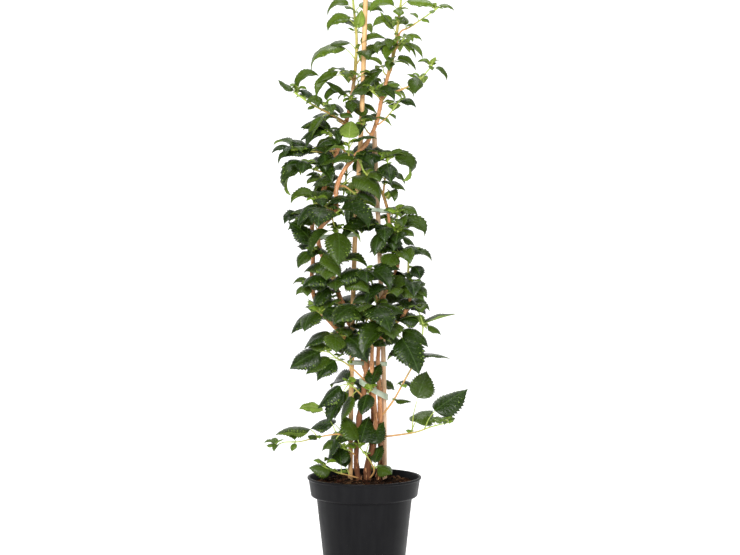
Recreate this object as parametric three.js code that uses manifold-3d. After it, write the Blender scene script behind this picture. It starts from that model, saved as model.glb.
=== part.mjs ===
// Potted climbing hydrangea: a nursery pot of compost with two bamboo canes, four woody stems that wind
// round the canes, soft tie bands, and the leafy shoots that the stems carry.
// Millimetres, +Z up, origin at the centre of the pot's base, -Y is the front.
import * as THREE from "three";
import { mergeVertices } from "three/addons/utils/BufferGeometryUtils.js";
import Module from "manifold-3d";

const wasm = await Module();
wasm.setup();

// Driving dimensions.
const pot = {
  height: 140,
  rimRadius: 75, // outside of the rolled lip
  lipHeight: 2.6,
  bandTopRadius: 73.4,
  bandBottomRadius: 70.2,
  bandHeight: 24, // from the lip down to the shoulder
  shoulderRadius: 63,
  baseRadius: 50.5,
  wall: 1.4,
  floor: 2,
  drainHoles: 8,
  drainRadius: 4.5,
  drainCircle: 38,
  sides: 40,
};
const soil = { level: 131.5, mound: 2.5, gap: 0.4 };
const cane = { radius: 3.2, sides: 8 };
const stemSides = 6;
const shootSides = 4;
const leaf = {
  thickness: 1.1, // at the midrib, thinning to the edges
  width: 0.7, // of the blade's length
  stalk: 0.28, // of the blade's length, where a leaf states none
  stalkWidth: 1.2,
  stalkLift: 30, // degrees that a stalk rises more steeply than its blade
  roll: 34, // degrees that a blade turns its upper side to the front
  rollSpread: 14,
};
const clearance = 0.35; // kept between separate pieces that would touch

// What grows where.
const canes = {
  cane_left: [[-19, 14, 25], [-18, 13, 200], [-16, 12, 320], [-12, 8, 460], [-4, 4, 600], [2, 0, 775]],
  cane_right: [[28, 21, 12], [27, 20, 140], [25.5, 19, 290], [20, 16, 440], [13, 12, 596]],
};

// Each woody stem: its radius at the soil and at the top, and the line that it climbs.
const stems = {
  stem_left: {
    radius: [3.4, 2.2],
    line: [
      [-3, 3, 112], [-10, 4, 150], [-10, 3, 181], [-6, 2, 220], [0, 2, 253], [3, 2, 286], [2, 0, 306],
      [-4, -1, 316], [-15, 0, 318], [-32, 2, 330], [-49, 6, 348], [-60, 8, 360], [-67, 10, 378], [-70, 12, 398],
      [-68, 12, 427], [-70, 14, 457], [-66, 18, 488], [-58, 22, 510], [-50, 26, 531], [-45, 28, 550],
      [-36, 28, 572], [-31, 24, 593], [-23, 18, 613], [-19, 12, 633], [-15, 8, 651], [-12, 4, 675], [-11, 3, 692],
    ],
  },
  stem_front: {
    radius: [3.6, 2.3],
    line: [
      [4, 8, 112], [3, 7, 150], [10, 7, 179], [12, 9, 211], [11, 12, 240], [4, 14, 269], [-6, 22, 306],
      [-22, 25, 345], [-35, 18, 382], [-46, 8, 410], [-54, -2, 427], [-60, -10, 447], [-58, -16, 465],
      [-46, -18, 478], [-37, -16, 488], [-37, -12, 503], [-36, -10, 519], [-31, -10, 534], [-21, -12, 550],
      [-10, -12, 563], [2, -10, 576], [10, -6, 590], [17, -2, 609], [21, 2, 627], [25, 4, 646], [30, 6, 664],
      [36, 6, 685], [41.5, 4, 711],
    ],
  },
  stem_right: {
    radius: [3.3, 2],
    line: [
      [17, 11, 112], [19, 10, 140], [21, 9, 161], [21, 9, 201], [20.5, 10, 240], [18.5, 9, 273], [18, 7, 295],
      [20, 6, 316], [26, 4, 336], [36, 2, 340], [47, 2, 347], [55, 4, 357], [60, 6, 372], [59, 8, 388], [57, 8, 401],
    ],
  },
  stem_middle: {
    radius: [2.9, 1.8],
    line: [
      [10, -2, 112], [6, -3, 150], [13, -3, 185], [15, -1, 220], [11, -4, 260], [10, -6, 299], [13, -5, 339],
      [19, -2, 365], [26, 0, 378], [34, 2, 396], [41, 4, 410], [44, 5, 427], [42, 6, 444], [36, 6, 460],
      [33, 6, 477], [30, 6, 494], [25, 4, 510], [20, -2, 519],
    ],
  },
};

// Each tie band: a flat loop round a cane and the stems beside it. tilt is its rise per millimetre along X.
const ties = {
  tie_low: {
    height: 265, width: 8, tilt: -0.62, loop: [[-6, 2], [0, -6], [11, -10], [22, 2], [31, 17], [28, 25], [10, 20], [-4, 9]],
  },
  tie_canes: {
    height: 289, width: 5.5, tilt: -0.05, loop: [[-21.5, 13], [-17, 7.6], [3, 8.6], [19, 13.2], [28, 14.6], [30, 20], [25, 24], [-2, 25], [-18, 18]],
  },
  tie_left: {
    height: 453, width: 5, tilt: 0.08, loop: [[-76, 14], [-67, -10], [-59, -18.5], [-35, -8], [-12, 3], [-7, 9], [-13, 14.5], [-40, 19], [-70, 20]],
  },
  tie_right: {
    height: 494, width: 5, tilt: -0.1,
    loop: [[-15, 9], [-10.5, 2.8], [10, 1.6], [31, 1.6], [35, 6], [31, 12], [18, 20.2], [-8, 12.6]],
  },
};

// The growing tip of each stem, and each side shoot: the radius at its foot and tip, its line, and its leaves. A leaf is
// [place along the line, heading in plan (0 right, 90 back, 180 left, 270 front), rise of the blade,
//  blade length, curl (degrees the blade turns down to its tip), stalk length, roll about its own axis,
//  width as a share of the length], angles in degrees. The last three may be left out.
const leaders = {
  stem_left: {
    radius: [2, 1.1],
    line: [[-11.4, 3.2, 688], [-10, 2, 706], [-11, 0, 730], [-14, -2, 757], [-16, -3, 785], [-15, -2, 804]],
    leaves: [
      [0.02, 183, 22, 67, 115], [0.13, 172, 24, 44, 90], [0.05, 300, 10, 38, 80], [0.14, 5, 35, 36, 50],
      [0.42, 186, 15, 38, 95], [0.34, 140, 45, 31, 60], [0.33, 290, 60, 29, 30], [0.34, 60, 30, 38, 70],
      [0.6, 180, 22, 36, 100], [0.5, 160, 10, 24, 70], [0.58, 20, 30, 40, 80], [0.57, 250, 20, 25, 60], [0.8, 110, 30, 38, 80],
      [0.82, 290, 25, 34, 85], [0.97, 200, 50, 31, 70], [0.98, 20, 52, 29, 70], [1, 110, 65, 15, 40],
    ],
  },
  stem_front: {
    radius: [2, 1],
    line: [[41, 4.2, 708], [45, 0, 741], [48, -3, 763], [50, -5, 783], [51, -5, 802]],
    leaves: [
      [0.15, 200, 55, 30, 10], [0.03, 250, 0, 31, 70], [0.02, 60, 10, 32, 70], [0.3, 185, 15, 30, 70], [0.3, 100, 30, 38, 80], [0.3, 280, 20, 27, 70],
      [0.55, 0, 18, 42, 60], [0.5, 265, -10, 26, 50], [0.5, 185, 25, 38, 90], [0.78, 95, 30, 38, 80], [0.78, 270, 25, 34, 80],
      [0.97, 10, 50, 31, 75], [0.97, 190, 52, 29, 75], [1, 100, 65, 15, 40],
    ],
  },
  stem_right: {
    radius: [1.6, 0.9],
    line: [[57.4, 8, 399], [58, 6, 412], [58, 3, 424], [57, 2, 433]],
    leaves: [
      [0.8, 0, 18, 29, 75], [1, 180, 30, 32, 75], [1, 20, 45, 20, 80], [0.9, 90, 20, 32, 80], [1, 270, 30, 22, 80],
      [0.45, 310, -10, 27, 70],
    ],
  },
  stem_middle: {
    radius: [1.6, 1],
    line: [[21, -1.6, 517], [10, -9, 530], [0, -13, 540], [-5, -14, 552]],
    leaves: [
      [1, 200, 20, 35, 80], [1, 20, 30, 32, 80], [0.6, 300, 0, 30, 70], [1, 280, 40, 22, 70], [0.6, 100, 15, 42, 80],
    ],
  },
};
const shoots = {
  shoot_right_73: {
    radius: [1.3, 0.8],
    line: [[47, -3, 724], [58, -3, 730], [72, -3, 739], [94, -4, 754]],
    leaves: [
      [1, 0, 25, 25, 95], [1, 180, 25, 20, 60], [0.9, 270, -5, 15, 50], [1, 80, 40, 15, 60], [0.55, 150, 45, 16, 40],
      [0.55, 330, 0, 14, 60], [0.2, 110, 55, 22, 30], [0.2, 300, 30, 15, 60],
    ],
  },
  shoot_right_71: {
    radius: [1.3, 0.8],
    line: [[41, 1, 702], [48, -5, 711], [51, -8, 714]],
    leaves: [
      [1, 0, 25, 25, 95], [0.5, 345, -20, 27, 70], [0.6, 250, 10, 20, 70], [1, 290, 0, 20, 70], [1, 60, 20, 22, 70],
      [0.08, 190, -8, 30, 40], [0.1, 350, -5, 34, 60], [0.15, 235, -20, 30, 60], [0.3, 80, 20, 29, 80],
    ],
  },
  shoot_right_66: {
    radius: [1.4, 0.8],
    line: [[27, 4, 642], [50, 2, 650], [71, 0, 661], [88, 0, 679]],
    leaves: [
      [1, 30, 55, 15, 60], [1, 90, 40, 20, 80], [1, 175, 45, 17, 70], [1, 275, -5, 15, 60], [1, 0, -25, 24, 50], [0.72, 255, -20, 36, 55],
      [0.72, 165, 35, 15, 40], [0.72, 75, 20, 29, 70], [0.38, 165, 30, 20, 50], [0.38, 345, -20, 17, 60],
    ],
  },
  shoot_right_62: {
    radius: [1.1, 0.8],
    line: [[20, -1, 604], [31, -3, 614], [42, -4, 628]],
    leaves: [[1, 0, 20, 26, 90], [1, 180, 25, 16, 60], [0.5, 300, -5, 17, 60], [0.9, 90, 20, 30, 70]],
  },
  shoot_middle_64: {
    radius: [1.1, 0.8],
    line: [[23, 0, 636], [17, -6, 640], [12, -8, 644]],
    leaves: [[1, 330, -5, 31, 60], [1, 200, 10, 29, 70], [0.5, 270, 20, 22, 80]],
  },
  shoot_left_66: {
    radius: [1.2, 0.8],
    line: [[-15, 4, 662], [-20, -1, 666], [-25, -3, 667]],
    leaves: [[1, 184, 2, 38, 75], [1, 194, -25, 42, 50], [0.6, 265, 5, 29, 60], [0.7, 95, 20, 40, 80], [1, 135, 30, 31, 70]],
  },
  shoot_left_63: {
    radius: [1.2, 0.9],
    line: [[-18, 9, 630], [-18, 3, 633], [-18, 0, 634]],
    leaves: [[1, 345, 48, 47, 30], [1, 190, 42, 34, 30], [0.8, 275, -20, 29, 50]],
  },
  shoot_left_64: {
    radius: [1.7, 1],
    line: [[-26, 14, 608], [-45, 8, 618], [-69, 2, 630], [-89, -2, 643]],
    leaves: [
      [1, 15, 80, 37, 110], [1, 182, 28, 25, -10], [1, 270, 30, 15, 60], [0.62, 170, 72, 30, 90],
      [0.62, 230, -20, 13, 20], [0.35, 215, -45, 40, 30], [0.35, 60, 30, 37, 70], [0.85, 90, 30, 27, 70], [0.75, 300, 0, 24, 70],
    ],
  },
  shoot_left_62: {
    radius: [1.2, 0.8],
    line: [[-26, 10, 602], [-38, 0, 614], [-51, -5, 626]],
    leaves: [[1, 20, 75, 32, 110], [1, 200, 30, 25, 80], [0.9, 280, 0, 27, 70], [0.5, 330, 10, 22, 60], [0.45, 255, 20, 22, 60]],
  },
  shoot_left_59: {
    radius: [1.2, 0.8],
    line: [[-32, 20, 589], [-39, 8, 590], [-44, 0, 588]],
    leaves: [[0.45, 175, 25, 42, 50], [1, 190, 5, 38, 60], [1, 212, -12, 34, 50], [1, 155, 30, 37, 60], [1, 285, 0, 37, 70]],
  },
  shoot_left_57: {
    radius: [1.4, 0.8],
    line: [[-39, 24, 571], [-54, 10, 568], [-74, 2, 568], [-93, -2, 566]],
    leaves: [
      [0.4, 192, 5, 47, 55], [1, 182, 25, 30, 95], [1, 195, -20, 23, 60], [1, 150, 45, 32, 80], [0.95, 280, 20, 25, 80],
      [0.7, 170, 45, 30, 80], [0.7, 350, -10, 30, 60], [0.85, 90, 30, 32, 80], [0.4, 280, -30, 35, 60], [1, 240, 5, 25, 80],
    ],
  },
  shoot_left_54: {
    radius: [1.3, 0.8],
    line: [[-49, 23, 541], [-61, 12, 543], [-78, 3, 548]],
    leaves: [[0.86, 188, -10, 52, 115, 6], [1, 270, 5, 35, 80], [0.6, 300, -10, 40, 60], [0.9, 225, 20, 32, 70], [0.5, 120, 20, 42, 80]],
  },
  shoot_front_56: {
    radius: [1.3, 0.8],
    line: [[-21, -15, 550], [-20, -20, 562], [-20, -22, 572]],
    leaves: [
      [0.1, 170, 5, 38, 60], [0.15, 325, 0, 37, 70], [1, 275, 55, 42, 60], [0.9, 330, 30, 40, 60], [1, 180, 20, 37, 70],
      [0.6, 200, 20, 30, 70],
    ],
  },
  shoot_middle_60: {
    radius: [1.2, 0.8],
    line: [[10, -8, 588], [4, -9, 593], [-1, -7, 602]],
    leaves: [[1, 120, 55, 42, 20], [1, 20, 20, 35, 70], [1, 290, 25, 35, 70], [0.6, 250, 0, 30, 70]],
  },
  shoot_right_54: {
    radius: [1.4, 0.9],
    line: [[25, 2, 512], [27, -3, 530], [30, -6, 548], [31, -6, 558]],
    leaves: [
      [1, 0, 25, 24, 85], [0.96, 350, -2, 47, 145, 10], [0.8, 270, -15, 42, 60], [1, 170, 30, 30, 70], [1, 90, 30, 40, 80],
      [0.5, 0, 0, 25, 70], [1, 260, 40, 25, 80], [0.45, 200, 10, 32, 80], [1, 40, 45, 20, 70], [0.3, 0, 0, 26, 60], [0.3, 285, 10, 24, 60],
    ],
  },
  shoot_left_52: {
    radius: [1.4, 0.8],
    line: [[-35, -8, 520], [-27, -3, 522], [-14, 0, 513], [-4, 1, 503]],
    leaves: [
      [0.2, 335, 10, 62, 105], [0.25, 45, -10, 62, 50], [0.2, 150, 20, 42, 70], [1, 90, -35, 52, 35],
      [1, 250, 10, 30, 70], [0.7, 320, -10, 35, 60], [0.55, 265, -72, 48, 20, 4, 10, 0.34],
    ],
  },
  shoot_left_49: {
    radius: [1.3, 0.8],
    line: [[-40, -18, 488], [-50, -22, 494], [-62, -22, 500]],
    leaves: [
      [1, 180, 20, 32, 80], [1, 40, 40, 27, 60], [0.9, 280, 10, 27, 80], [0.8, 200, -30, 37, 50], [1, 130, 40, 32, 70],
      [0.5, 350, 30, 30, 60], [0.4, 225, -20, 32, 60],
    ],
  },
  shoot_left_47: {
    radius: [1.2, 0.8],
    line: [[-70, 11, 470], [-74, 4, 474], [-77, 0, 476]],
    leaves: [[1, 195, -15, 24, 50], [1, 165, 40, 23, 80], [1, 270, 10, 30, 80], [0.7, 90, 20, 37, 80], [1, 230, 25, 20, 80]],
  },
  shoot_left_43: {
    radius: [1.1, 0.8],
    line: [[-59, -12, 438], [-62, -18, 434], [-63, -21, 433]],
    leaves: [[1, 165, 58, 45, 35], [1, 330, -30, 42, 40], [1, 210, -20, 30, 60]],
  },
  shoot_front_48: {
    radius: [1.4, 0.8],
    line: [[-43, -21, 480], [-42, -28, 481], [-40, -31, 473], [-36, -30, 462]],
    leaves: [
      [0.36, 250, 10, 57, 80], [0.33, 325, 5, 55, 70], [0.3, 190, 0, 40, 70], [1, 280, -35, 55, 40],
      [1, 215, -30, 42, 40], [1, 10, -10, 32, 60],
    ],
  },
  shoot_right_48: {
    radius: [1.2, 0.7],
    line: [[37, 3, 462], [42, -1, 472], [44, -3, 487]],
    leaves: [[1, 0, 20, 26, 90], [1, 180, 30, 17, 70], [0.9, 280, 10, 17, 70], [0.45, 290, 10, 30, 70], [0.45, 100, 20, 35, 80], [1, 60, 50, 17, 60]],
  },
  shoot_right_45: {
    radius: [1.2, 0.8],
    line: [[42, 3, 446], [44, -2, 456], [44, -4, 463]],
    leaves: [[1, 0, 22, 38, 105], [1, 330, -5, 23, 50], [0.6, 270, 5, 32, 80], [0.8, 85, 20, 42, 80]],
  },
  shoot_middle_46: {
    radius: [1.2, 0.9],
    line: [[32, 3, 466], [27, -4, 465], [25, -6, 465]],
    leaves: [[1, 205, -5, 52, 45], [0.9, 165, 15, 37, 60], [1, 275, -10, 32, 70], [1, 245, -45, 36, 40]],
  },
  shoot_right_43: {
    radius: [1.2, 0.8],
    line: [[45, 2, 427], [46, -4, 430], [47, -7, 431]],
    leaves: [[1, 10, 25, 29, 80], [1, 290, 0, 32, 70], [1, 155, 40, 30, 70], [0.5, 240, -10, 35, 60]],
  },
  shoot_middle_41: {
    radius: [1.2, 0.8],
    line: [[18, -5, 366], [13, -12, 386], [4, -18, 408]],
    leaves: [[1, 350, 25, 40, 70], [1, 200, -5, 47, 60], [1, 265, 0, 35, 70], [0.9, 110, 20, 40, 80], [1, 310, -12, 40, 60]],
  },
  shoot_right_39: {
    radius: [1.2, 0.8],
    line: [[61, 4, 387], [62, -3, 391], [62, -9, 391]],
    leaves: [[1, 310, 15, 22, 60], [1, 315, -20, 26, 50], [0.8, 270, 0, 35, 80], [0.6, 80, 20, 32, 80], [1, 125, 40, 32, 80], [0.6, 230, 10, 32, 80]],
  },
  shoot_right_38: {
    radius: [1.2, 0.8],
    line: [[27, -3, 379], [33, -10, 382], [38, -14, 382]],
    leaves: [[1, 340, 5, 40, 70], [1, 220, 0, 42, 70], [1, 280, 15, 32, 80]],
  },
  shoot_front_35: {
    radius: [1.3, 0.9],
    line: [[13, -9, 338], [7, -18, 348], [2, -24, 356]],
    leaves: [[1, 300, 0, 57, 80], [1, 225, 5, 52, 70], [0.9, 262, 30, 37, 80], [0.9, 0, 20, 45, 70], [0.8, 170, 15, 45, 80]],
  },
  shoot_left_38: {
    radius: [1.4, 0.8],
    line: [[-36, 14, 384], [-35, 3, 388], [-34, -8, 392], [-38, -13, 403], [-42, -15, 413]],
    leaves: [
      [0.55, 200, 15, 47, 75], [0.25, 192, -28, 38, 50], [0.5, 320, 10, 47, 75], [0.55, 262, 10, 37, 80], [0.25, 175, 20, 42, 80],
      [0.3, 20, 25, 45, 70], [1, 165, 15, 37, 70], [1, 350, 25, 42, 70], [1, 260, 0, 35, 70],
    ],
  },
  shoot_left_35: {
    radius: [1.3, 0.9],
    line: [[-52, 2, 351], [-56, -5, 354], [-58, -9, 355]],
    leaves: [[1, 208, -22, 42, 45], [1, 240, -15, 42, 50], [1, 310, 0, 42, 60], [0.6, 155, 40, 24, 70], [0.5, 100, 15, 47, 80]],
  },
  shoot_left_39: {
    radius: [1.1, 0.8],
    line: [[-73, 9, 393], [-74, 3, 391], [-74, 0, 390]],
    leaves: [[1, 200, -20, 18, 60], [1, 160, 30, 20, 80], [1, 265, -20, 20, 60], [0.8, 60, 25, 24, 80]],
  },
  shoot_left_33: {
    radius: [1.2, 0.8],
    line: [[-24, -3, 320], [-30, -8, 324], [-34, -10, 325]],
    leaves: [[1, 195, -8, 42, 50], [1, 325, -25, 47, 50], [1, 262, -10, 40, 60]],
  },
  shoot_right_33: {
    radius: [1.3, 0.9],
    line: [[28, 0, 336], [34, -9, 334], [39, -14, 328]],
    leaves: [[1, 345, -8, 42, 50], [1, 308, -40, 57, 30], [1, 215, -10, 52, 70], [0.5, 270, 12, 45, 90], [0.6, 30, 20, 50, 70]],
  },
  shoot_right_35: {
    radius: [1.3, 0.9],
    line: [[56, 7, 357], [58, 14, 358], [59, 18, 359]],
    leaves: [[1, 15, 15, 27, 70], [1, 120, 10, 44, 80], [0.9, 320, 5, 27, 60], [1, 70, 40, 32, 70]],
  },
  shoot_far_right: {
    radius: [1.4, 0.8],
    line: [[25, 8, 221], [40, 2, 242], [54, -2, 268], [64, -4, 286], [73, -4, 305], [77, -4, 333], [75, -2, 348], [69, 0, 361]],
    leaves: [
      [0.86, 5, 20, 44, 8, 3, 4], [0.84, 350, -5, 23, 60, 6], [0.6, 0, 8, 42, 35, 3, 6], [0.16, 0, 12, 24, 40, 3, 10],
      [0.86, 185, 30, 30, 60], [1, 165, 40, 28, 60], [1, 30, 50, 16, 60], [1, 280, 20, 22, 70], [0.58, 150, 15, 39, 60],
      [0.33, 60, 20, 24, 60],
    ],
  },
  shoot_right_20: {
    radius: [1.4, 0.7],
    line: [[24, 5, 191], [44, 0, 194], [59, -6, 197], [71, -10, 200], [87, -12, 206], [109, -14, 212]],
    leaves: [
      [0.46, 35, 66, 39, 5, 46, 76, 0.98], [0.46, 50, 36, 42, 40, 16], [0.66, 18, 34, 53, 5, 28], [1, 30, 40, 13, 60],
      [1, 180, 20, 15, 20], [1, 265, 10, 11, 60], [0.85, 120, 40, 14, 40],
    ],
  },
  shoot_left_19: {
    radius: [1.2, 0.6],
    line: [[-13, 0, 190], [-32, -8, 196], [-48, -12, 195], [-64, -14, 192], [-85, -14, 187], [-106, -14, 186], [-118, -12, 179]],
    leaves: [
      [0.24, 182, 36, 34, 70, 36, 34], [0.2, 200, -60, 30, 20, 8], [0.16, 150, 15, 38, 60, 20], [0.48, 183, 20, 49, 60, 14, 14],
      [0.5, 250, 10, 17, 60, 6], [0.75, 150, 40, 11, 30], [0.75, 240, -40, 13, 30], [1, 190, 30, 15, 60], [1, 130, 50, 13, 60],
      [1, 255, -10, 13, 60],
    ],
  },
  shoot_left_29: {
    radius: [1.3, 0.8],
    line: [[0, -2, 267], [-14, -9, 281], [-25, -13, 290], [-37, -15, 297], [-48, -15, 306]],
    leaves: [
      [0.95, 188, -20, 46, 20], [1, 172, 25, 24, 60], [0.75, 197, -20, 39, 30], [0.65, 215, -20, 39, 50], [1, 60, 20, 37, 60],
      [0.5, 320, 45, 30, 50],
    ],
  },
  shoot_left_25: {
    radius: [1.3, 0.9],
    line: [[-4, -1, 247], [-12, -7, 256], [-20, -9, 262]],
    leaves: [[1, 192, -35, 42, 20], [1, 215, -60, 46, 10], [0.8, 205, -55, 40, 20], [0.4, 200, -60, 36, 10], [0.8, 130, 10, 42, 60]],
  },
  shoot_front_25: {
    radius: [1.2, 0.8],
    line: [[12, -7, 255], [9, -15, 254], [8, -18, 254]],
    leaves: [[1, 245, -45, 32, 20], [1, 60, 60, 34, 20, 8]],
  },
  shoot_low_front: {
    radius: [1.3, 0.8],
    line: [[9, -7, 140], [13, -12, 150], [5, -16, 166], [-6, -17, 180]],
    leaves: [
      [1, 140, 58, 42, 20, 10], [1, 62, 62, 42, 20, 6], [0.75, 40, 55, 37, 20, 16], [0.3, 320, 0, 28, 30, 6],
      [0.3, 60, 60, 28, 20, 8],
    ],
  },
  shoot_low_left: {
    radius: [1.2, 0.6],
    line: [[-10, -1, 138], [-24, -8, 143], [-38, -12, 147], [-52, -14, 154]],
    leaves: [[0.7, 190, 12, 30, 15, 5], [0.5, 100, 60, 34, 20, 12], [0.25, 140, 35, 42, 60, 12], [1, 120, 50, 9, 40], [1, 230, 40, 9, 40]],
  },
  shoot_low_edge: {
    radius: [1.1, 0.8],
    line: [[-13, 1, 168], [-19, -3, 174], [-24, -5, 176]],
    leaves: [[1, 183, 15, 28, 95, 14], [1, 120, 40, 35, 50, 10]],
  },
  shoot_back_24: {
    radius: [1.4, 0.9],
    line: [[11, 15, 232], [12, 28, 240], [10, 42, 246]],
    leaves: [[1, 95, 10, 51, 60, 14], [1, 20, 15, 27, 60, 12], [0.6, 160, 10, 46, 60, 12], [1, 150, 45, 32, 60]],
  },
  shoot_back_37: {
    radius: [1.5, 0.9],
    line: [[-2, 25, 302], [0, 37, 312], [2, 42, 340], [8, 40, 372]],
    leaves: [
      [0.3, 90, 10, 55, 70], [0.28, 10, 15, 47, 70], [0.3, 180, 10, 50, 70], [0.65, 120, 30, 42, 70],
      [1, 80, 15, 52, 75], [1, 350, 20, 45, 75], [0.95, 180, 15, 47, 75], [0.65, 30, 15, 45, 75],
    ],
  },
  shoot_back_57: {
    radius: [1.5, 0.9],
    line: [[-33, 30, 577], [-25, 39, 568], [-24, 45, 545], [-28, 46, 516]],
    leaves: [
      [0.3, 70, 15, 50, 80], [0.3, 350, 20, 45, 75], [0.35, 170, 30, 37, 70], [1, 70, 10, 50, 80],
      [1, 340, 10, 45, 75], [0.7, 130, 15, 50, 80], [0.7, 20, 15, 42, 70], [1, 180, 10, 40, 70],
    ],
  },
  shoot_back_64: {
    radius: [1.3, 0.8],
    line: [[23, 7, 637], [20, 18, 643], [14, 26, 650]],
    leaves: [[1, 80, 15, 43, 80], [1, 160, 20, 36, 75], [0.6, 20, 15, 38, 80], [1, 120, 50, 25, 60]],
  },
};

// Solids.
const radians = THREE.MathUtils.degToRad;
const vector = (p) => new THREE.Vector3(...p);
const curve = (points) => new THREE.CatmullRomCurve3(points.map(vector), false, "catmullrom", 0.5);

// A closed geometry as a manifold solid.
function solid(geometry) {
  const bare = geometry.clone();
  bare.deleteAttribute("normal");
  bare.deleteAttribute("uv");
  const merged = mergeVertices(bare, 1e-3);
  return new wasm.Manifold(
    new wasm.Mesh({
      numProp: 3,
      vertProperties: new Float32Array(merged.attributes.position.array),
      triVerts: new Uint32Array(merged.index.array),
    }),
  );
}

function geometryOf(made) {
  const mesh = made.getMesh();
  const geometry = new THREE.BufferGeometry();
  geometry.setAttribute("position", new THREE.BufferAttribute(new Float32Array(mesh.vertProperties), 3));
  geometry.setIndex(new THREE.BufferAttribute(new Uint32Array(mesh.triVerts), 1));
  geometry.computeVertexNormals();
  return geometry;
}

// Whether the diagonal between a quad's first and third corners stands further out than the other one.
function bulges([a, b, c, d]) {
  const out = c.clone().sub(a).cross(d.clone().sub(b));
  return a.clone().add(c).sub(b).sub(d).dot(out) >= 0;
}

// A skin over rings of equal count, each turning anticlockwise seen from the last ring.
// The ends are capped, or the last ring joins the first one when looped. A full skin splits each
// of its quads along the diagonal that stands further out, so that a thin, twisted body keeps its thickness.
function skin(rings, looped = false, full = false) {
  const count = rings[0].length;
  const corners = rings.flat();
  const positions = corners.flatMap((p) => [p.x, p.y, p.z]);
  const index = [];
  const spans = looped ? rings.length : rings.length - 1;
  for (let i = 0; i < spans; i++) {
    const here = i * count;
    const next = ((i + 1) % rings.length) * count;
    for (let j = 0; j < count; j++) {
      const k = (j + 1) % count;
      const quad = [here + j, here + k, next + k, next + j];
      const [a, b, c, d] = full && !bulges(quad.map((at) => corners[at])) ? [...quad.slice(1), quad[0]] : quad;
      index.push(a, b, c, a, c, d);
    }
  }
  if (!looped) {
    const last = (rings.length - 1) * count;
    for (let j = 1; j < count - 1; j++) {
      index.push(0, j + 1, j);
      index.push(last, last + j, last + j + 1);
    }
  }
  const geometry = new THREE.BufferGeometry();
  geometry.setAttribute("position", new THREE.Float32BufferAttribute(positions, 3));
  geometry.setIndex(index);
  return geometry;
}

// A round tube along a line of points, with its radius running from the first value to the second.
// grow swells it on every side, its ends included.
function tube(points, [first, last], sides, steps, grow = 0) {
  const line = curve(points);
  const frames = line.computeFrenetFrames(steps, false);
  const rings = [];
  for (let i = 0; i <= steps; i++) {
    const beyond = i === 0 ? -grow : i === steps ? grow : 0;
    const centre = line.getPointAt(i / steps).addScaledVector(frames.tangents[i], beyond);
    const radius = first + (last - first) * (i / steps) + grow;
    const ring = [];
    for (let j = 0; j < sides; j++) {
      const angle = (2 * Math.PI * j) / sides;
      ring.push(
        centre
          .clone()
          .addScaledVector(frames.normals[i], radius * Math.cos(angle))
          .addScaledVector(frames.binormals[i], radius * Math.sin(angle)),
      );
    }
    rings.push(ring);
  }
  return solid(skin(rings));
}

function stepsAlong(points, spacing) {
  return Math.max(2, Math.round(curve(points).getLength() / spacing));
}

// One leaf from a point on its shoot: a stalk, then a blade that arches down, rolled a little about its own axis.
function leafSolid(foot, [, heading, rise, length, curl, stalk = leaf.stalk * length, turned, width = leaf.width], grow) {
  const out = new THREE.Vector3(Math.cos(radians(heading)), Math.sin(radians(heading)), 0);
  const level = new THREE.Vector3(-out.y, out.x, 0);
  const roll = radians(turned ?? leaf.roll * level.y + leaf.rollSpread * Math.sin(heading + 3 * length));
  const across = level.clone().multiplyScalar(Math.cos(roll)).setZ(Math.sin(roll));
  const stalkRise = radians(rise + leaf.stalkLift * Math.cos(radians(rise)));
  const neck = foot
    .clone()
    .addScaledVector(out, stalk * Math.cos(stalkRise))
    .add(new THREE.Vector3(0, 0, stalk * Math.sin(stalkRise)));
  const turn = radians(curl === 0 ? 0.1 : curl);
  const start = radians(rise);
  const onBlade = (s) =>
    neck
      .clone()
      .addScaledVector(out, (length * (Math.sin(start) - Math.sin(start - turn * s))) / turn)
      .add(new THREE.Vector3(0, 0, (length * (Math.cos(start - turn * s) - Math.cos(start))) / turn));
  // A section is flat on top and deepest below the midrib. A grown one has edges that are as deep as it grew.
  const ring = (centre, angle, halfWidth, depth) => {
    const along = out.clone().multiplyScalar(Math.cos(angle)).setZ(Math.sin(angle));
    const sideways = across.clone().addScaledVector(along, -across.dot(along)).normalize();
    const down = sideways.clone().cross(along);
    const at = (side, below) => centre.clone().addScaledVector(sideways, side).addScaledVector(down, below);
    const edge = halfWidth + grow;
    if (grow === 0) return [at(edge, 0), at(-edge, 0), at(0, depth)];
    return [at(edge, -grow), at(-edge, -grow), at(-edge, grow), at(0, depth + grow), at(edge, grow)];
  };
  const half = (width * length) / 2;
  const stalkHalf = leaf.stalkWidth / 2;
  const outline = length < 24 ? [[0.42, 1, 1], [1, 0.03, 0.35]] : [[0.36, 1, 1], [0.74, 0.64, 0.9], [1, 0.03, 0.35]];
  const rings = [
    ring(foot, stalkRise, stalkHalf, leaf.stalkWidth),
    ring(neck, (stalkRise + start) / 2, stalkHalf, leaf.stalkWidth),
    ...outline.map(([s, width, deep]) => ring(onBlade(s < 1 ? s : 1 + grow / length), start - turn * s, half * width, leaf.thickness * deep)),
  ];
  return solid(skin(rings, false, true));
}

function shootSolid({ radius, line, leaves }, grow) {
  const stalk = tube(line, radius, shootSides, stepsAlong(line, 16), grow);
  const path = curve(line);
  // A leaf leaves the twig on its own side of it.
  const foot = ([place, heading], i) => {
    const share = Math.max(0.01, place - 0.01 - 0.004 * i);
    const aside = 0.45 * (radius[0] + (radius[1] - radius[0]) * share);
    return path
      .getPointAt(share)
      .add(new THREE.Vector3(aside * Math.cos(radians(heading)), aside * Math.sin(radians(heading)), 0.03 * i));
  };
  const parts = leaves.map((one, i) => leafSolid(foot(one, i), one, grow));
  return parts.reduce((sum, part) => sum.add(part), stalk);
}

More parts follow.
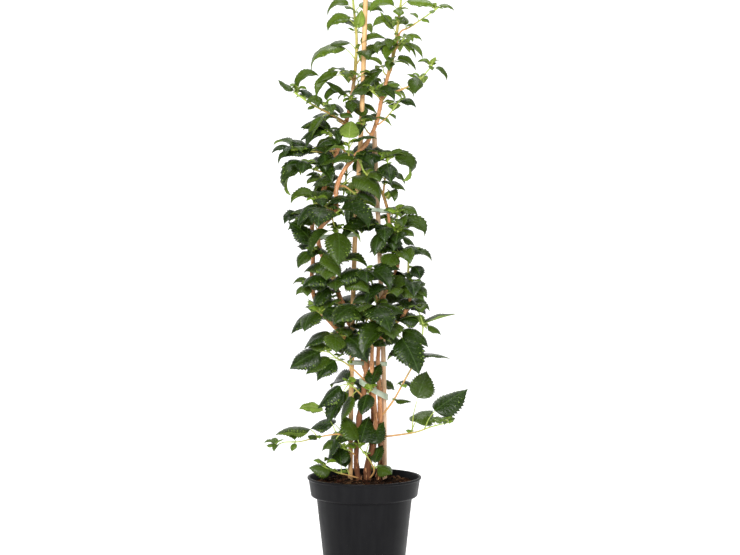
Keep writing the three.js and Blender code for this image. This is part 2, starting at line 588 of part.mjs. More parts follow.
// A flat band that follows a closed loop in plan, tilted along X.
function tieSolid({ height, width, tilt, loop }, grow) {
  const thickness = 0.8;
  const points = loop.map(([x, y]) => new THREE.Vector3(x, y, height + tilt * (x - loop[0][0])));
  const line = new THREE.CatmullRomCurve3(points, true, "catmullrom", 0.5);
  const steps = loop.length * 3;
  const rings = [];
  for (let i = 0; i < steps; i++) {
    const centre = line.getPointAt(i / steps);
    const along = line.getTangentAt(i / steps);
    const outward = new THREE.Vector3(along.y, -along.x, 0).normalize();
    rings.push(
      [[1, 1], [1, -1], [-1, -1], [-1, 1]].map(([side, top]) =>
        centre
          .clone()
          .addScaledVector(outward, side * (thickness / 2 + grow))
          .add(new THREE.Vector3(0, 0, top * (width / 2 + grow))),
      ),
    );
  }
  return solid(skin(rings, true));
}

// The wall's inner radius at a height on the pot's tapered body.
function bodyRadius(z) {
  const share = z / (pot.height - pot.lipHeight - pot.bandHeight);
  return pot.baseRadius + (pot.shoulderRadius - pot.baseRadius) * share - pot.wall;
}

function lathe(profile) {
  const points = profile.map(([r, z]) => new THREE.Vector2(r, z));
  return solid(new THREE.LatheGeometry(points, pot.sides).rotateX(Math.PI / 2));
}

function potSolid() {
  const top = pot.height;
  const shoulder = top - pot.lipHeight - pot.bandHeight;
  const corner = 3;
  const shell = lathe([
    [0, 0],
    [pot.baseRadius - corner / 2, 0],
    [pot.baseRadius, corner / 2],
    [pot.shoulderRadius, shoulder],
    [pot.bandBottomRadius - corner, shoulder + 0.6],
    [pot.bandBottomRadius - corner * 0.3, shoulder + corner * 0.4],
    [pot.bandBottomRadius, shoulder + corner],
    [pot.bandTopRadius, top - pot.lipHeight - 0.8],
    [pot.rimRadius, top - pot.lipHeight],
    [pot.rimRadius, top - 0.8],
    [pot.rimRadius - 0.8, top],
    [pot.bandTopRadius - pot.wall, top],
    [pot.bandBottomRadius - pot.wall, shoulder + corner + pot.wall],
    [pot.bandBottomRadius - pot.wall - corner * 0.7, shoulder + 0.6 + pot.wall],
    [bodyRadius(shoulder), shoulder + 0.2 + pot.wall],
    [bodyRadius(pot.floor), pot.floor],
    [0, pot.floor],
  ]);
  let made = shell;
  for (let i = 0; i < pot.drainHoles; i++) {
    const angle = (2 * Math.PI * (i + 0.5)) / pot.drainHoles;
    const hole = new THREE.CylinderGeometry(pot.drainRadius, pot.drainRadius, 4 * pot.floor, 10)
      .rotateX(Math.PI / 2)
      .translate(pot.drainCircle * Math.cos(angle), pot.drainCircle * Math.sin(angle), 0);
    made = made.subtract(solid(hole));
  }
  return made;
}

function soilSolid() {
  const shoulder = pot.height - pot.lipHeight - pot.bandHeight;
  const gap = soil.gap;
  const brim = pot.bandBottomRadius - pot.wall - gap;
  return lathe([
    [0, pot.floor + gap],
    [bodyRadius(pot.floor) - gap - 0.2, pot.floor + gap],
    [bodyRadius(shoulder) - gap, shoulder + pot.wall],
    [bodyRadius(shoulder) - gap, shoulder + pot.wall + 0.8],
    [brim - 2.6, shoulder + pot.wall + 1.3],
    [brim - 0.4, shoulder + pot.wall + 4],
    [brim, soil.level],
    [brim * 0.6, soil.level + soil.mound * 0.6],
    [0, soil.level + soil.mound],
  ]);
}

// Assembly.
const colours = {
  pot: new THREE.MeshStandardMaterial({ color: 0x2a2a2b, roughness: 0.55, metalness: 0 }),
  soil: new THREE.MeshStandardMaterial({ color: 0x3a211a, roughness: 0.95, metalness: 0 }),
  cane: new THREE.MeshStandardMaterial({ color: 0xb98a55, roughness: 0.6, metalness: 0 }),
  bark: new THREE.MeshStandardMaterial({ color: 0x9c5f38, roughness: 0.75, metalness: 0 }),
  tie: new THREE.MeshStandardMaterial({ color: 0xb9c2ae, roughness: 0.5, metalness: 0 }),
  foliage: new THREE.MeshStandardMaterial({ color: 0x2c4f18, roughness: 0.45, metalness: 0 }),
};
const plant = new THREE.Group();
const placed = []; // grown copies of what stands already, which later pieces are cut back from

const largest = (made) => made.decompose().sort((a, b) => b.volume() - a.volume())[0];

// Adds a piece, cut back where it would grow into those placed before it. Only the part that still
// hangs together with its foot is kept.
function add(name, material, made, grown) {
  let kept = made;
  const box = made.boundingBox();
  for (const other of placed) {
    const apart = [0, 1, 2].some((i) => box.min[i] > other.box.max[i] || box.max[i] < other.box.min[i]);
    if (!apart) kept = kept.subtract(other.grown);
  }
  const mesh = new THREE.Mesh(geometryOf(largest(largest(kept).simplify(0.05))), material);
  mesh.name = name;
  plant.add(mesh);
  if (grown) placed.push({ grown, box: grown.boundingBox() });
}

for (const [name, line] of Object.entries(canes)) {
  const make = (grow) => tube(line, [cane.radius, cane.radius], cane.sides, stepsAlong(line, 60), grow);
  add(name, colours.cane, make(0), make(clearance));
}
for (const [name, { radius, line }] of Object.entries(stems)) {
  const make = (grow) =>
    tube(line, radius, stemSides, stepsAlong(line, 17), grow).add(shootSolid(leaders[name], grow));
  add(name, colours.bark, make(0), make(clearance));
}
add("potting_soil", colours.soil, soilSolid(), null);
add("nursery_pot", colours.pot, potSolid(), null);
for (const [name, tie] of Object.entries(ties)) {
  add(name, colours.tie, tieSolid(tie, 0), tieSolid(tie, clearance));
}
for (const [name, shoot] of Object.entries(shoots)) {
  add(name, colours.foliage, shootSolid(shoot, 0), shootSolid(shoot, clearance));
}

export default plant;
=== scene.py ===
# The looks of a potted climbing hydrangea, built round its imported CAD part.
# A line that gives a plant's path or a size is in millimetres, and mm turns it into Blender's metres.
import math
import random

import bpy
import numpy as np
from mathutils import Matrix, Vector


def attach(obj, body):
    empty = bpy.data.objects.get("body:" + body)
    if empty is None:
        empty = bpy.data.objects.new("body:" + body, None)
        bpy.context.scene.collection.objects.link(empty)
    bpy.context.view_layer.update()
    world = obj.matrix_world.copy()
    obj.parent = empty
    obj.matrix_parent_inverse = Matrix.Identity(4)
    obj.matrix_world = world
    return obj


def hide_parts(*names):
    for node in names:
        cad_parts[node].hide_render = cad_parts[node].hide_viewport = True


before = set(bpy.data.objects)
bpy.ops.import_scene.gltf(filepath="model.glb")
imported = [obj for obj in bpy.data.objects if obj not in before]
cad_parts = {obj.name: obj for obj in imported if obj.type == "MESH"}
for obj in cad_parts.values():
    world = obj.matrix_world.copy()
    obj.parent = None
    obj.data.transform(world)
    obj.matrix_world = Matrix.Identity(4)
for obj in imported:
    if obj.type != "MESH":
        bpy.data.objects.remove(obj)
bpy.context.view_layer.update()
mm = 0.001
print("frame loaded")

canes = {
    "cane_left": [
        [-19, 14, 25], [-18, 13, 200], [-16, 12, 320], [-12, 8, 460], [-4, 4, 600], [2, 0, 775],
    ],
    "cane_right": [[28, 21, 12], [27, 20, 140], [25.5, 19, 290], [20, 16, 440], [13, 12, 596]],
}

# Each woody stem: its radius at the soil and at the top, and the line that it climbs.
stems = {
    "stem_left": {
        "radius": [3.4, 2.2],
        "line": [
            [-3, 3, 112], [-10, 4, 150], [-10, 3, 181], [-6, 2, 220], [0, 2, 253], [3, 2, 286],
            [2, 0, 306], [-4, -1, 316], [-15, 0, 318], [-32, 2, 330], [-49, 6, 348], [-60, 8, 360],
            [-67, 10, 378], [-70, 12, 398], [-68, 12, 427], [-70, 14, 457], [-66, 18, 488],
            [-58, 22, 510], [-50, 26, 531], [-45, 28, 550], [-36, 28, 572], [-31, 24, 593],
            [-23, 18, 613], [-19, 12, 633], [-15, 8, 651], [-12, 4, 675], [-11, 3, 692],
        ],
    },
    "stem_front": {
        "radius": [3.6, 2.3],
        "line": [
            [4, 8, 112], [3, 7, 150], [10, 7, 179], [12, 9, 211], [11, 12, 240], [4, 14, 269],
            [-6, 22, 306], [-22, 25, 345], [-35, 18, 382], [-46, 8, 410], [-54, -2, 427],
            [-60, -10, 447], [-58, -16, 465], [-46, -18, 478], [-37, -16, 488], [-37, -12, 503],
            [-36, -10, 519], [-31, -10, 534], [-21, -12, 550], [-10, -12, 563], [2, -10, 576],
            [10, -6, 590], [17, -2, 609], [21, 2, 627], [25, 4, 646], [30, 6, 664], [36, 6, 685],
            [41.5, 4, 711],
        ],
    },
    "stem_right": {
        "radius": [3.3, 2],
        "line": [
            [17, 11, 112], [19, 10, 140], [21, 9, 161], [21, 9, 201], [20.5, 10, 240], [18.5, 9, 273],
            [18, 7, 295], [20, 6, 316], [26, 4, 336], [36, 2, 340], [47, 2, 347], [55, 4, 357],
            [60, 6, 372], [59, 8, 388], [57, 8, 401],
        ],
    },
    "stem_middle": {
        "radius": [2.9, 1.8],
        "line": [
            [10, -2, 112], [6, -3, 150], [13, -3, 185], [15, -1, 220], [11, -4, 260], [10, -6, 299],
            [13, -5, 339], [19, -2, 365], [26, 0, 378], [34, 2, 396], [41, 4, 410], [44, 5, 427],
            [42, 6, 444], [36, 6, 460], [33, 6, 477], [30, 6, 494], [25, 4, 510], [20, -2, 519],
        ],
    },
}

# Each tie band: a flat loop round a cane and the stems beside it. tilt is its rise per millimetre along X.
ties = {
    "tie_low": {
        "height": 265, "width": 8, "tilt": -0.62,
        "loop": [[-6, 2], [0, -6], [11, -10], [22, 2], [31, 17], [28, 25], [10, 20], [-4, 9]],
    },
    "tie_canes": {
        "height": 289, "width": 5.5, "tilt": -0.05,
        "loop": [
            [-21.5, 13], [-17, 7.6], [3, 8.6], [19, 13.2], [28, 14.6], [30, 20], [25, 24], [-2, 25],
            [-18, 18],
        ],
    },
    "tie_left": {
        "height": 453, "width": 5, "tilt": 0.08,
        "loop": [
            [-76, 14], [-67, -10], [-59, -18.5], [-35, -8], [-12, 3], [-7, 9], [-13, 14.5], [-40, 19],
            [-70, 20],
        ],
    },
    "tie_right": {
        "height": 494, "width": 5, "tilt": -0.1,
        "loop": [[-15, 9], [-10.5, 2.8], [10, 1.6], [31, 1.6], [35, 6], [31, 12], [18, 20.2], [-8, 12.6]],
    },
}

# The growing tip of each stem, and each side shoot: the radius at its foot and tip, its line, and its
# leaves. A leaf is [place along the line, heading in plan (0 right, 90 back, 180 left, 270 front), rise of
# the blade, blade length, curl down to its tip, stalk length, roll about its own axis, width as a share of
# the length], angles in degrees. The last three may be left out.
leaders = {
    "stem_left": {
        "radius": [2, 1.1],
        "line": [
            [-11.4, 3.2, 688], [-10, 2, 706], [-11, 0, 730], [-14, -2, 757], [-16, -3, 785],
            [-15, -2, 804],
        ],
        "leaves": [
            [0.02, 183, 22, 67, 115], [0.13, 172, 24, 44, 90], [0.05, 300, 10, 38, 80],
            [0.14, 5, 35, 36, 50], [0.42, 186, 15, 38, 95], [0.34, 140, 45, 31, 60],
            [0.33, 290, 60, 29, 30], [0.34, 60, 30, 38, 70], [0.6, 180, 22, 36, 100],
            [0.5, 160, 10, 24, 70], [0.58, 20, 30, 40, 80], [0.57, 250, 20, 25, 60],
            [0.8, 110, 30, 38, 80], [0.82, 290, 25, 34, 85], [0.97, 200, 50, 31, 70],
            [0.98, 20, 52, 29, 70], [1, 110, 65, 15, 40],
        ],
    },
    "stem_front": {
        "radius": [2, 1],
        "line": [[41, 4.2, 708], [45, 0, 741], [48, -3, 763], [50, -5, 783], [51, -5, 802]],
        "leaves": [
            [0.15, 200, 55, 30, 10], [0.03, 250, 0, 31, 70], [0.02, 60, 10, 32, 70],
            [0.3, 185, 15, 30, 70], [0.3, 100, 30, 38, 80], [0.3, 280, 20, 27, 70],
            [0.55, 0, 18, 42, 60], [0.5, 265, -10, 26, 50], [0.5, 185, 25, 38, 90],
            [0.78, 95, 30, 38, 80], [0.78, 270, 25, 34, 80], [0.97, 10, 50, 31, 75],
            [0.97, 190, 52, 29, 75], [1, 100, 65, 15, 40],
        ],
    },
    "stem_right": {
        "radius": [1.6, 0.9],
        "line": [[57.4, 8, 399], [58, 6, 412], [58, 3, 424], [57, 2, 433]],
        "leaves": [
            [0.8, 0, 18, 29, 75], [1, 180, 30, 32, 75], [1, 20, 45, 20, 80], [0.9, 90, 20, 32, 80],
            [1, 270, 30, 22, 80], [0.45, 310, -10, 27, 70],
        ],
    },
    "stem_middle": {
        "radius": [1.6, 1],
        "line": [[21, -1.6, 517], [10, -9, 530], [0, -13, 540], [-5, -14, 552]],
        "leaves": [
            [1, 200, 20, 35, 80], [1, 20, 30, 32, 80], [0.6, 300, 0, 30, 70], [1, 280, 40, 22, 70],
            [0.6, 100, 15, 42, 80],
        ],
    },
}
shoots = {
    "shoot_right_73": {
        "radius": [1.3, 0.8],
        "line": [[47, -3, 724], [58, -3, 730], [72, -3, 739], [94, -4, 754]],
        "leaves": [
            [1, 0, 25, 25, 95], [1, 180, 25, 20, 60], [0.9, 270, -5, 15, 50], [1, 80, 40, 15, 60],
            [0.55, 150, 45, 16, 40], [0.55, 330, 0, 14, 60], [0.2, 110, 55, 22, 30],
            [0.2, 300, 30, 15, 60],
        ],
    },
    "shoot_right_71": {
        "radius": [1.3, 0.8],
        "line": [[41, 1, 702], [48, -5, 711], [51, -8, 714]],
        "leaves": [
            [1, 0, 25, 25, 95], [0.5, 345, -20, 27, 70], [0.6, 250, 10, 20, 70], [1, 290, 0, 20, 70],
            [1, 60, 20, 22, 70], [0.08, 190, -8, 30, 40], [0.1, 350, -5, 34, 60],
            [0.15, 235, -20, 30, 60], [0.3, 80, 20, 29, 80],
        ],
    },
    "shoot_right_66": {
        "radius": [1.4, 0.8],
        "line": [[27, 4, 642], [50, 2, 650], [71, 0, 661], [88, 0, 679]],
        "leaves": [
            [1, 30, 55, 15, 60], [1, 90, 40, 20, 80], [1, 175, 45, 17, 70], [1, 275, -5, 15, 60],
            [1, 0, -25, 24, 50], [0.72, 255, -20, 36, 55], [0.72, 165, 35, 15, 40],
            [0.72, 75, 20, 29, 70], [0.38, 165, 30, 20, 50], [0.38, 345, -20, 17, 60],
        ],
    },
    "shoot_right_62": {
        "radius": [1.1, 0.8],
        "line": [[20, -1, 604], [31, -3, 614], [42, -4, 628]],
        "leaves": [
            [1, 0, 20, 26, 90], [1, 180, 25, 16, 60], [0.5, 300, -5, 17, 60], [0.9, 90, 20, 30, 70],
        ],
    },
    "shoot_middle_64": {
        "radius": [1.1, 0.8],
        "line": [[23, 0, 636], [17, -6, 640], [12, -8, 644]],
        "leaves": [[1, 330, -5, 31, 60], [1, 200, 10, 29, 70], [0.5, 270, 20, 22, 80]],
    },
    "shoot_left_66": {
        "radius": [1.2, 0.8],
        "line": [[-15, 4, 662], [-20, -1, 666], [-25, -3, 667]],
        "leaves": [
            [1, 184, 2, 38, 75], [1, 194, -25, 42, 50], [0.6, 265, 5, 29, 60], [0.7, 95, 20, 40, 80],
            [1, 135, 30, 31, 70],
        ],
    },
    "shoot_left_63": {
        "radius": [1.2, 0.9],
        "line": [[-18, 9, 630], [-18, 3, 633], [-18, 0, 634]],
        "leaves": [[1, 345, 48, 47, 30], [1, 190, 42, 34, 30], [0.8, 275, -20, 29, 50]],
    },
    "shoot_left_64": {
        "radius": [1.7, 1],
        "line": [[-26, 14, 608], [-45, 8, 618], [-69, 2, 630], [-89, -2, 643]],
        "leaves": [
            [1, 15, 80, 37, 110], [1, 182, 28, 25, -10], [1, 270, 30, 15, 60], [0.62, 170, 72, 30, 90],
            [0.62, 230, -20, 13, 20], [0.35, 215, -45, 40, 30], [0.35, 60, 30, 37, 70],
            [0.85, 90, 30, 27, 70], [0.75, 300, 0, 24, 70],
        ],
    },
    "shoot_left_62": {
        "radius": [1.2, 0.8],
        "line": [[-26, 10, 602], [-38, 0, 614], [-51, -5, 626]],
        "leaves": [
            [1, 20, 75, 32, 110], [1, 200, 30, 25, 80], [0.9, 280, 0, 27, 70], [0.5, 330, 10, 22, 60],
            [0.45, 255, 20, 22, 60],
        ],
    },
    "shoot_left_59": {
        "radius": [1.2, 0.8],
        "line": [[-32, 20, 589], [-39, 8, 590], [-44, 0, 588]],
        "leaves": [
            [0.45, 175, 25, 42, 50], [1, 190, 5, 38, 60], [1, 212, -12, 34, 50], [1, 155, 30, 37, 60],
            [1, 285, 0, 37, 70],
        ],
    },
    "shoot_left_57": {
        "radius": [1.4, 0.8],
        "line": [[-39, 24, 571], [-54, 10, 568], [-74, 2, 568], [-93, -2, 566]],
        "leaves": [
            [0.4, 192, 5, 47, 55], [1, 182, 25, 30, 95], [1, 195, -20, 23, 60], [1, 150, 45, 32, 80],
            [0.95, 280, 20, 25, 80], [0.7, 170, 45, 30, 80], [0.7, 350, -10, 30, 60],
            [0.85, 90, 30, 32, 80], [0.4, 280, -30, 35, 60], [1, 240, 5, 25, 80],
        ],
    },
    "shoot_left_54": {
        "radius": [1.3, 0.8],
        "line": [[-49, 23, 541], [-61, 12, 543], [-78, 3, 548]],
        "leaves": [
            [0.86, 188, -10, 52, 115, 6], [1, 270, 5, 35, 80], [0.6, 300, -10, 40, 60],
            [0.9, 225, 20, 32, 70], [0.5, 120, 20, 42, 80],
        ],
    },
    "shoot_front_56": {
        "radius": [1.3, 0.8],
        "line": [[-21, -15, 550], [-20, -20, 562], [-20, -22, 572]],
        "leaves": [
            [0.1, 170, 5, 38, 60], [0.15, 325, 0, 37, 70], [1, 275, 55, 42, 60], [0.9, 330, 30, 40, 60],
            [1, 180, 20, 37, 70], [0.6, 200, 20, 30, 70],
        ],
    },
    "shoot_middle_60": {
        "radius": [1.2, 0.8],
        "line": [[10, -8, 588], [4, -9, 593], [-1, -7, 602]],
        "leaves": [
            [1, 120, 55, 42, 20], [1, 20, 20, 35, 70], [1, 290, 25, 35, 70], [0.6, 250, 0, 30, 70],
        ],
    },
    "shoot_right_54": {
        "radius": [1.4, 0.9],
        "line": [[25, 2, 512], [27, -3, 530], [30, -6, 548], [31, -6, 558]],
        "leaves": [
            [1, 0, 25, 24, 85], [0.96, 350, -2, 47, 145, 10], [0.8, 270, -15, 42, 60],
            [1, 170, 30, 30, 70], [1, 90, 30, 40, 80], [0.5, 0, 0, 25, 70], [1, 260, 40, 25, 80],
            [0.45, 200, 10, 32, 80], [1, 40, 45, 20, 70], [0.3, 0, 0, 26, 60], [0.3, 285, 10, 24, 60],
        ],
    },
    "shoot_left_52": {
        "radius": [1.4, 0.8],
        "line": [[-35, -8, 520], [-27, -3, 522], [-14, 0, 513], [-4, 1, 503]],
        "leaves": [
            [0.2, 335, 10, 62, 105], [0.25, 45, -10, 62, 50], [0.2, 150, 20, 42, 70],
            [1, 90, -35, 52, 35], [1, 250, 10, 30, 70], [0.7, 320, -10, 35, 60],
            [0.55, 265, -72, 48, 20, 4, 10, 0.34],
        ],
    },
    "shoot_left_49": {
        "radius": [1.3, 0.8],
        "line": [[-40, -18, 488], [-50, -22, 494], [-62, -22, 500]],
        "leaves": [
            [1, 180, 20, 32, 80], [1, 40, 40, 27, 60], [0.9, 280, 10, 27, 80], [0.8, 200, -30, 37, 50],
            [1, 130, 40, 32, 70], [0.5, 350, 30, 30, 60], [0.4, 225, -20, 32, 60],
        ],
    },
    "shoot_left_47": {
        "radius": [1.2, 0.8],
        "line": [[-70, 11, 470], [-74, 4, 474], [-77, 0, 476]],
        "leaves": [
            [1, 195, -15, 24, 50], [1, 165, 40, 23, 80], [1, 270, 10, 30, 80], [0.7, 90, 20, 37, 80],
            [1, 230, 25, 20, 80],
        ],
    },
    "shoot_left_43": {
        "radius": [1.1, 0.8],
        "line": [[-59, -12, 438], [-62, -18, 434], [-63, -21, 433]],
        "leaves": [[1, 165, 58, 45, 35], [1, 330, -30, 42, 40], [1, 210, -20, 30, 60]],
    },
    "shoot_front_48": {
        "radius": [1.4, 0.8],
        "line": [[-43, -21, 480], [-42, -28, 481], [-40, -31, 473], [-36, -30, 462]],
        "leaves": [
            [0.36, 250, 10, 57, 80], [0.33, 325, 5, 55, 70], [0.3, 190, 0, 40, 70],
            [1, 280, -35, 55, 40], [1, 215, -30, 42, 40], [1, 10, -10, 32, 60],
        ],
    },
    "shoot_right_48": {
        "radius": [1.2, 0.7],
        "line": [[37, 3, 462], [42, -1, 472], [44, -3, 487]],
        "leaves": [
            [1, 0, 20, 26, 90], [1, 180, 30, 17, 70], [0.9, 280, 10, 17, 70], [0.45, 290, 10, 30, 70],
            [0.45, 100, 20, 35, 80], [1, 60, 50, 17, 60],
        ],
    },
    "shoot_right_45": {
        "radius": [1.2, 0.8],
        "line": [[42, 3, 446], [44, -2, 456], [44, -4, 463]],
        "leaves": [
            [1, 0, 22, 38, 105], [1, 330, -5, 23, 50], [0.6, 270, 5, 32, 80], [0.8, 85, 20, 42, 80],
        ],
    },
    "shoot_middle_46": {
        "radius": [1.2, 0.9],
        "line": [[32, 3, 466], [27, -4, 465], [25, -6, 465]],
        "leaves": [
            [1, 205, -5, 52, 45], [0.9, 165, 15, 37, 60], [1, 275, -10, 32, 70], [1, 245, -45, 36, 40],
        ],
    },
    "shoot_right_43": {
        "radius": [1.2, 0.8],
        "line": [[45, 2, 427], [46, -4, 430], [47, -7, 431]],
        "leaves": [
            [1, 10, 25, 29, 80], [1, 290, 0, 32, 70], [1, 155, 40, 30, 70], [0.5, 240, -10, 35, 60],
        ],
    },
    "shoot_middle_41": {
        "radius": [1.2, 0.8],
        "line": [[18, -5, 366], [13, -12, 386], [4, -18, 408]],
        "leaves": [
            [1, 350, 25, 40, 70], [1, 200, -5, 47, 60], [1, 265, 0, 35, 70], [0.9, 110, 20, 40, 80],
            [1, 310, -12, 40, 60],
        ],
    },
    "shoot_right_39": {
        "radius": [1.2, 0.8],
        "line": [[61, 4, 387], [62, -3, 391], [62, -9, 391]],
        "leaves": [
            [1, 310, 15, 22, 60], [1, 315, -20, 26, 50], [0.8, 270, 0, 35, 80], [0.6, 80, 20, 32, 80],
            [1, 125, 40, 32, 80], [0.6, 230, 10, 32, 80],
        ],
    },
    "shoot_right_38": {
        "radius": [1.2, 0.8],
        "line": [[27, -3, 379], [33, -10, 382], [38, -14, 382]],
        "leaves": [[1, 340, 5, 40, 70], [1, 220, 0, 42, 70], [1, 280, 15, 32, 80]],
    },
    "shoot_front_35": {
        "radius": [1.3, 0.9],
        "line": [[13, -9, 338], [7, -18, 348], [2, -24, 356]],
        "leaves": [
            [1, 300, 0, 57, 80], [1, 225, 5, 52, 70], [0.9, 262, 30, 37, 80], [0.9, 0, 20, 45, 70],
            [0.8, 170, 15, 45, 80],
        ],
    },
    "shoot_left_38": {
        "radius": [1.4, 0.8],
        "line": [[-36, 14, 384], [-35, 3, 388], [-34, -8, 392], [-38, -13, 403], [-42, -15, 413]],
        "leaves": [
            [0.55, 200, 15, 47, 75], [0.25, 192, -28, 38, 50], [0.5, 320, 10, 47, 75],
            [0.55, 262, 10, 37, 80], [0.25, 175, 20, 42, 80], [0.3, 20, 25, 45, 70],
            [1, 165, 15, 37, 70], [1, 350, 25, 42, 70], [1, 260, 0, 35, 70],
        ],
    },
    "shoot_left_35": {
        "radius": [1.3, 0.9],
        "line": [[-52, 2, 351], [-56, -5, 354], [-58, -9, 355]],
        "leaves": [
            [1, 208, -22, 42, 45], [1, 240, -15, 42, 50], [1, 310, 0, 42, 60], [0.6, 155, 40, 24, 70],
            [0.5, 100, 15, 47, 80],
        ],
    },
    "shoot_left_39": {
        "radius": [1.1, 0.8],
        "line": [[-73, 9, 393], [-74, 3, 391], [-74, 0, 390]],
        "leaves": [
            [1, 200, -20, 18, 60], [1, 160, 30, 20, 80], [1, 265, -20, 20, 60], [0.8, 60, 25, 24, 80],
        ],
    },
    "shoot_left_33": {
        "radius": [1.2, 0.8],
        "line": [[-24, -3, 320], [-30, -8, 324], [-34, -10, 325]],
        "leaves": [[1, 195, -8, 42, 50], [1, 325, -25, 47, 50], [1, 262, -10, 40, 60]],
    },
    "shoot_right_33": {
        "radius": [1.3, 0.9],
        "line": [[28, 0, 336], [34, -9, 334], [39, -14, 328]],
        "leaves": [
            [1, 345, -8, 42, 50], [1, 308, -40, 57, 30], [1, 215, -10, 52, 70], [0.5, 270, 12, 45, 90],
            [0.6, 30, 20, 50, 70],
        ],
    },
    "shoot_right_35": {
        "radius": [1.3, 0.9],
        "line": [[56, 7, 357], [58, 14, 358], [59, 18, 359]],
        "leaves": [[1, 15, 15, 27, 70], [1, 120, 10, 44, 80], [0.9, 320, 5, 27, 60], [1, 70, 40, 32, 70]],
    },
    "shoot_far_right": {
        "radius": [1.4, 0.8],
        "line": [
            [25, 8, 221], [40, 2, 242], [54, -2, 268], [64, -4, 286], [73, -4, 305], [77, -4, 333],
            [75, -2, 348], [69, 0, 361],
        ],
        "leaves": [
            [0.86, 5, 20, 44, 8, 3, 4], [0.84, 350, -5, 23, 60, 6], [0.6, 0, 8, 42, 35, 3, 6],
            [0.16, 0, 12, 24, 40, 3, 10], [0.86, 185, 30, 30, 60], [1, 165, 40, 28, 60],
            [1, 30, 50, 16, 60], [1, 280, 20, 22, 70], [0.58, 150, 15, 39, 60], [0.33, 60, 20, 24, 60],
        ],
    },
    "shoot_right_20": {
        "radius": [1.4, 0.7],
        "line": [
            [24, 5, 191], [44, 0, 194], [59, -6, 197], [71, -10, 200], [87, -12, 206], [109, -14, 212],
        ],
        "leaves": [
            [0.46, 35, 66, 39, 5, 46, 76, 0.98], [0.46, 50, 36, 42, 40, 16], [0.66, 18, 34, 53, 5, 28],
            [1, 30, 40, 13, 60], [1, 180, 20, 15, 20], [1, 265, 10, 11, 60], [0.85, 120, 40, 14, 40],
        ],
    },
    "shoot_left_19": {
        "radius": [1.2, 0.6],
        "line": [
            [-13, 0, 190], [-32, -8, 196], [-48, -12, 195], [-64, -14, 192], [-85, -14, 187],
            [-106, -14, 186], [-118, -12, 179],
        ],
        "leaves": [
            [0.24, 182, 36, 34, 70, 36, 34], [0.2, 200, -60, 30, 20, 8], [0.16, 150, 15, 38, 60, 20],
            [0.48, 183, 20, 49, 60, 14, 14], [0.5, 250, 10, 17, 60, 6], [0.75, 150, 40, 11, 30],
            [0.75, 240, -40, 13, 30], [1, 190, 30, 15, 60], [1, 130, 50, 13, 60], [1, 255, -10, 13, 60],
        ],
    },
    "shoot_left_29": {
        "radius": [1.3, 0.8],
        "line": [[0, -2, 267], [-14, -9, 281], [-25, -13, 290], [-37, -15, 297], [-48, -15, 306]],
        "leaves": [
            [0.95, 188, -20, 46, 20], [1, 172, 25, 24, 60], [0.75, 197, -20, 39, 30],
            [0.65, 215, -20, 39, 50], [1, 60, 20, 37, 60], [0.5, 320, 45, 30, 50],
        ],
    },
    "shoot_left_25": {
        "radius": [1.3, 0.9],
        "line": [[-4, -1, 247], [-12, -7, 256], [-20, -9, 262]],
        "leaves": [
            [1, 192, -35, 42, 20], [1, 215, -60, 46, 10], [0.8, 205, -55, 40, 20],
            [0.4, 200, -60, 36, 10], [0.8, 130, 10, 42, 60],
        ],
    },
    "shoot_front_25": {
        "radius": [1.2, 0.8],
        "line": [[12, -7, 255], [9, -15, 254], [8, -18, 254]],
        "leaves": [[1, 245, -45, 32, 20], [1, 60, 60, 34, 20, 8]],
    },
    "shoot_low_front": {
        "radius": [1.3, 0.8],
        "line": [[9, -7, 140], [13, -12, 150], [5, -16, 166], [-6, -17, 180]],
        "leaves": [
            [1, 140, 58, 42, 20, 10], [1, 62, 62, 42, 20, 6], [0.75, 40, 55, 37, 20, 16],
            [0.3, 320, 0, 28, 30, 6], [0.3, 60, 60, 28, 20, 8],
        ],
    },
    "shoot_low_left": {
        "radius": [1.2, 0.6],
        "line": [[-10, -1, 138], [-24, -8, 143], [-38, -12, 147], [-52, -14, 154]],
        "leaves": [
            [0.7, 190, 12, 30, 15, 5], [0.5, 100, 60, 34, 20, 12], [0.25, 140, 35, 42, 60, 12],
            [1, 120, 50, 9, 40], [1, 230, 40, 9, 40],
        ],
    },
    "shoot_low_edge": {
        "radius": [1.1, 0.8],
        "line": [[-13, 1, 168], [-19, -3, 174], [-24, -5, 176]],
        "leaves": [[1, 183, 15, 28, 95, 14], [1, 120, 40, 35, 50, 10]],
    },
    "shoot_back_24": {
        "radius": [1.4, 0.9],
        "line": [[11, 15, 232], [12, 28, 240], [10, 42, 246]],
        "leaves": [
            [1, 95, 10, 51, 60, 14], [1, 20, 15, 27, 60, 12], [0.6, 160, 10, 46, 60, 12],
            [1, 150, 45, 32, 60],
        ],
    },
    "shoot_back_37": {
        "radius": [1.5, 0.9],
        "line": [[-2, 25, 302], [0, 37, 312], [2, 42, 340], [8, 40, 372]],
        "leaves": [
            [0.3, 90, 10, 55, 70], [0.28, 10, 15, 47, 70], [0.3, 180, 10, 50, 70],
            [0.65, 120, 30, 42, 70], [1, 80, 15, 52, 75], [1, 350, 20, 45, 75], [0.95, 180, 15, 47, 75],
            [0.65, 30, 15, 45, 75],
        ],
    },
    "shoot_back_57": {
        "radius": [1.5, 0.9],
        "line": [[-33, 30, 577], [-25, 39, 568], [-24, 45, 545], [-28, 46, 516]],
        "leaves": [
            [0.3, 70, 15, 50, 80], [0.3, 350, 20, 45, 75], [0.35, 170, 30, 37, 70], [1, 70, 10, 50, 80],
            [1, 340, 10, 45, 75], [0.7, 130, 15, 50, 80], [0.7, 20, 15, 42, 70], [1, 180, 10, 40, 70],
        ],
    },
    "shoot_back_64": {
        "radius": [1.3, 0.8],
        "line": [[23, 7, 637], [20, 18, 643], [14, 26, 650]],
        "leaves": [
            [1, 80, 15, 43, 80], [1, 160, 20, 36, 75], [0.6, 20, 15, 38, 80], [1, 120, 50, 25, 60],
        ],
    },
}

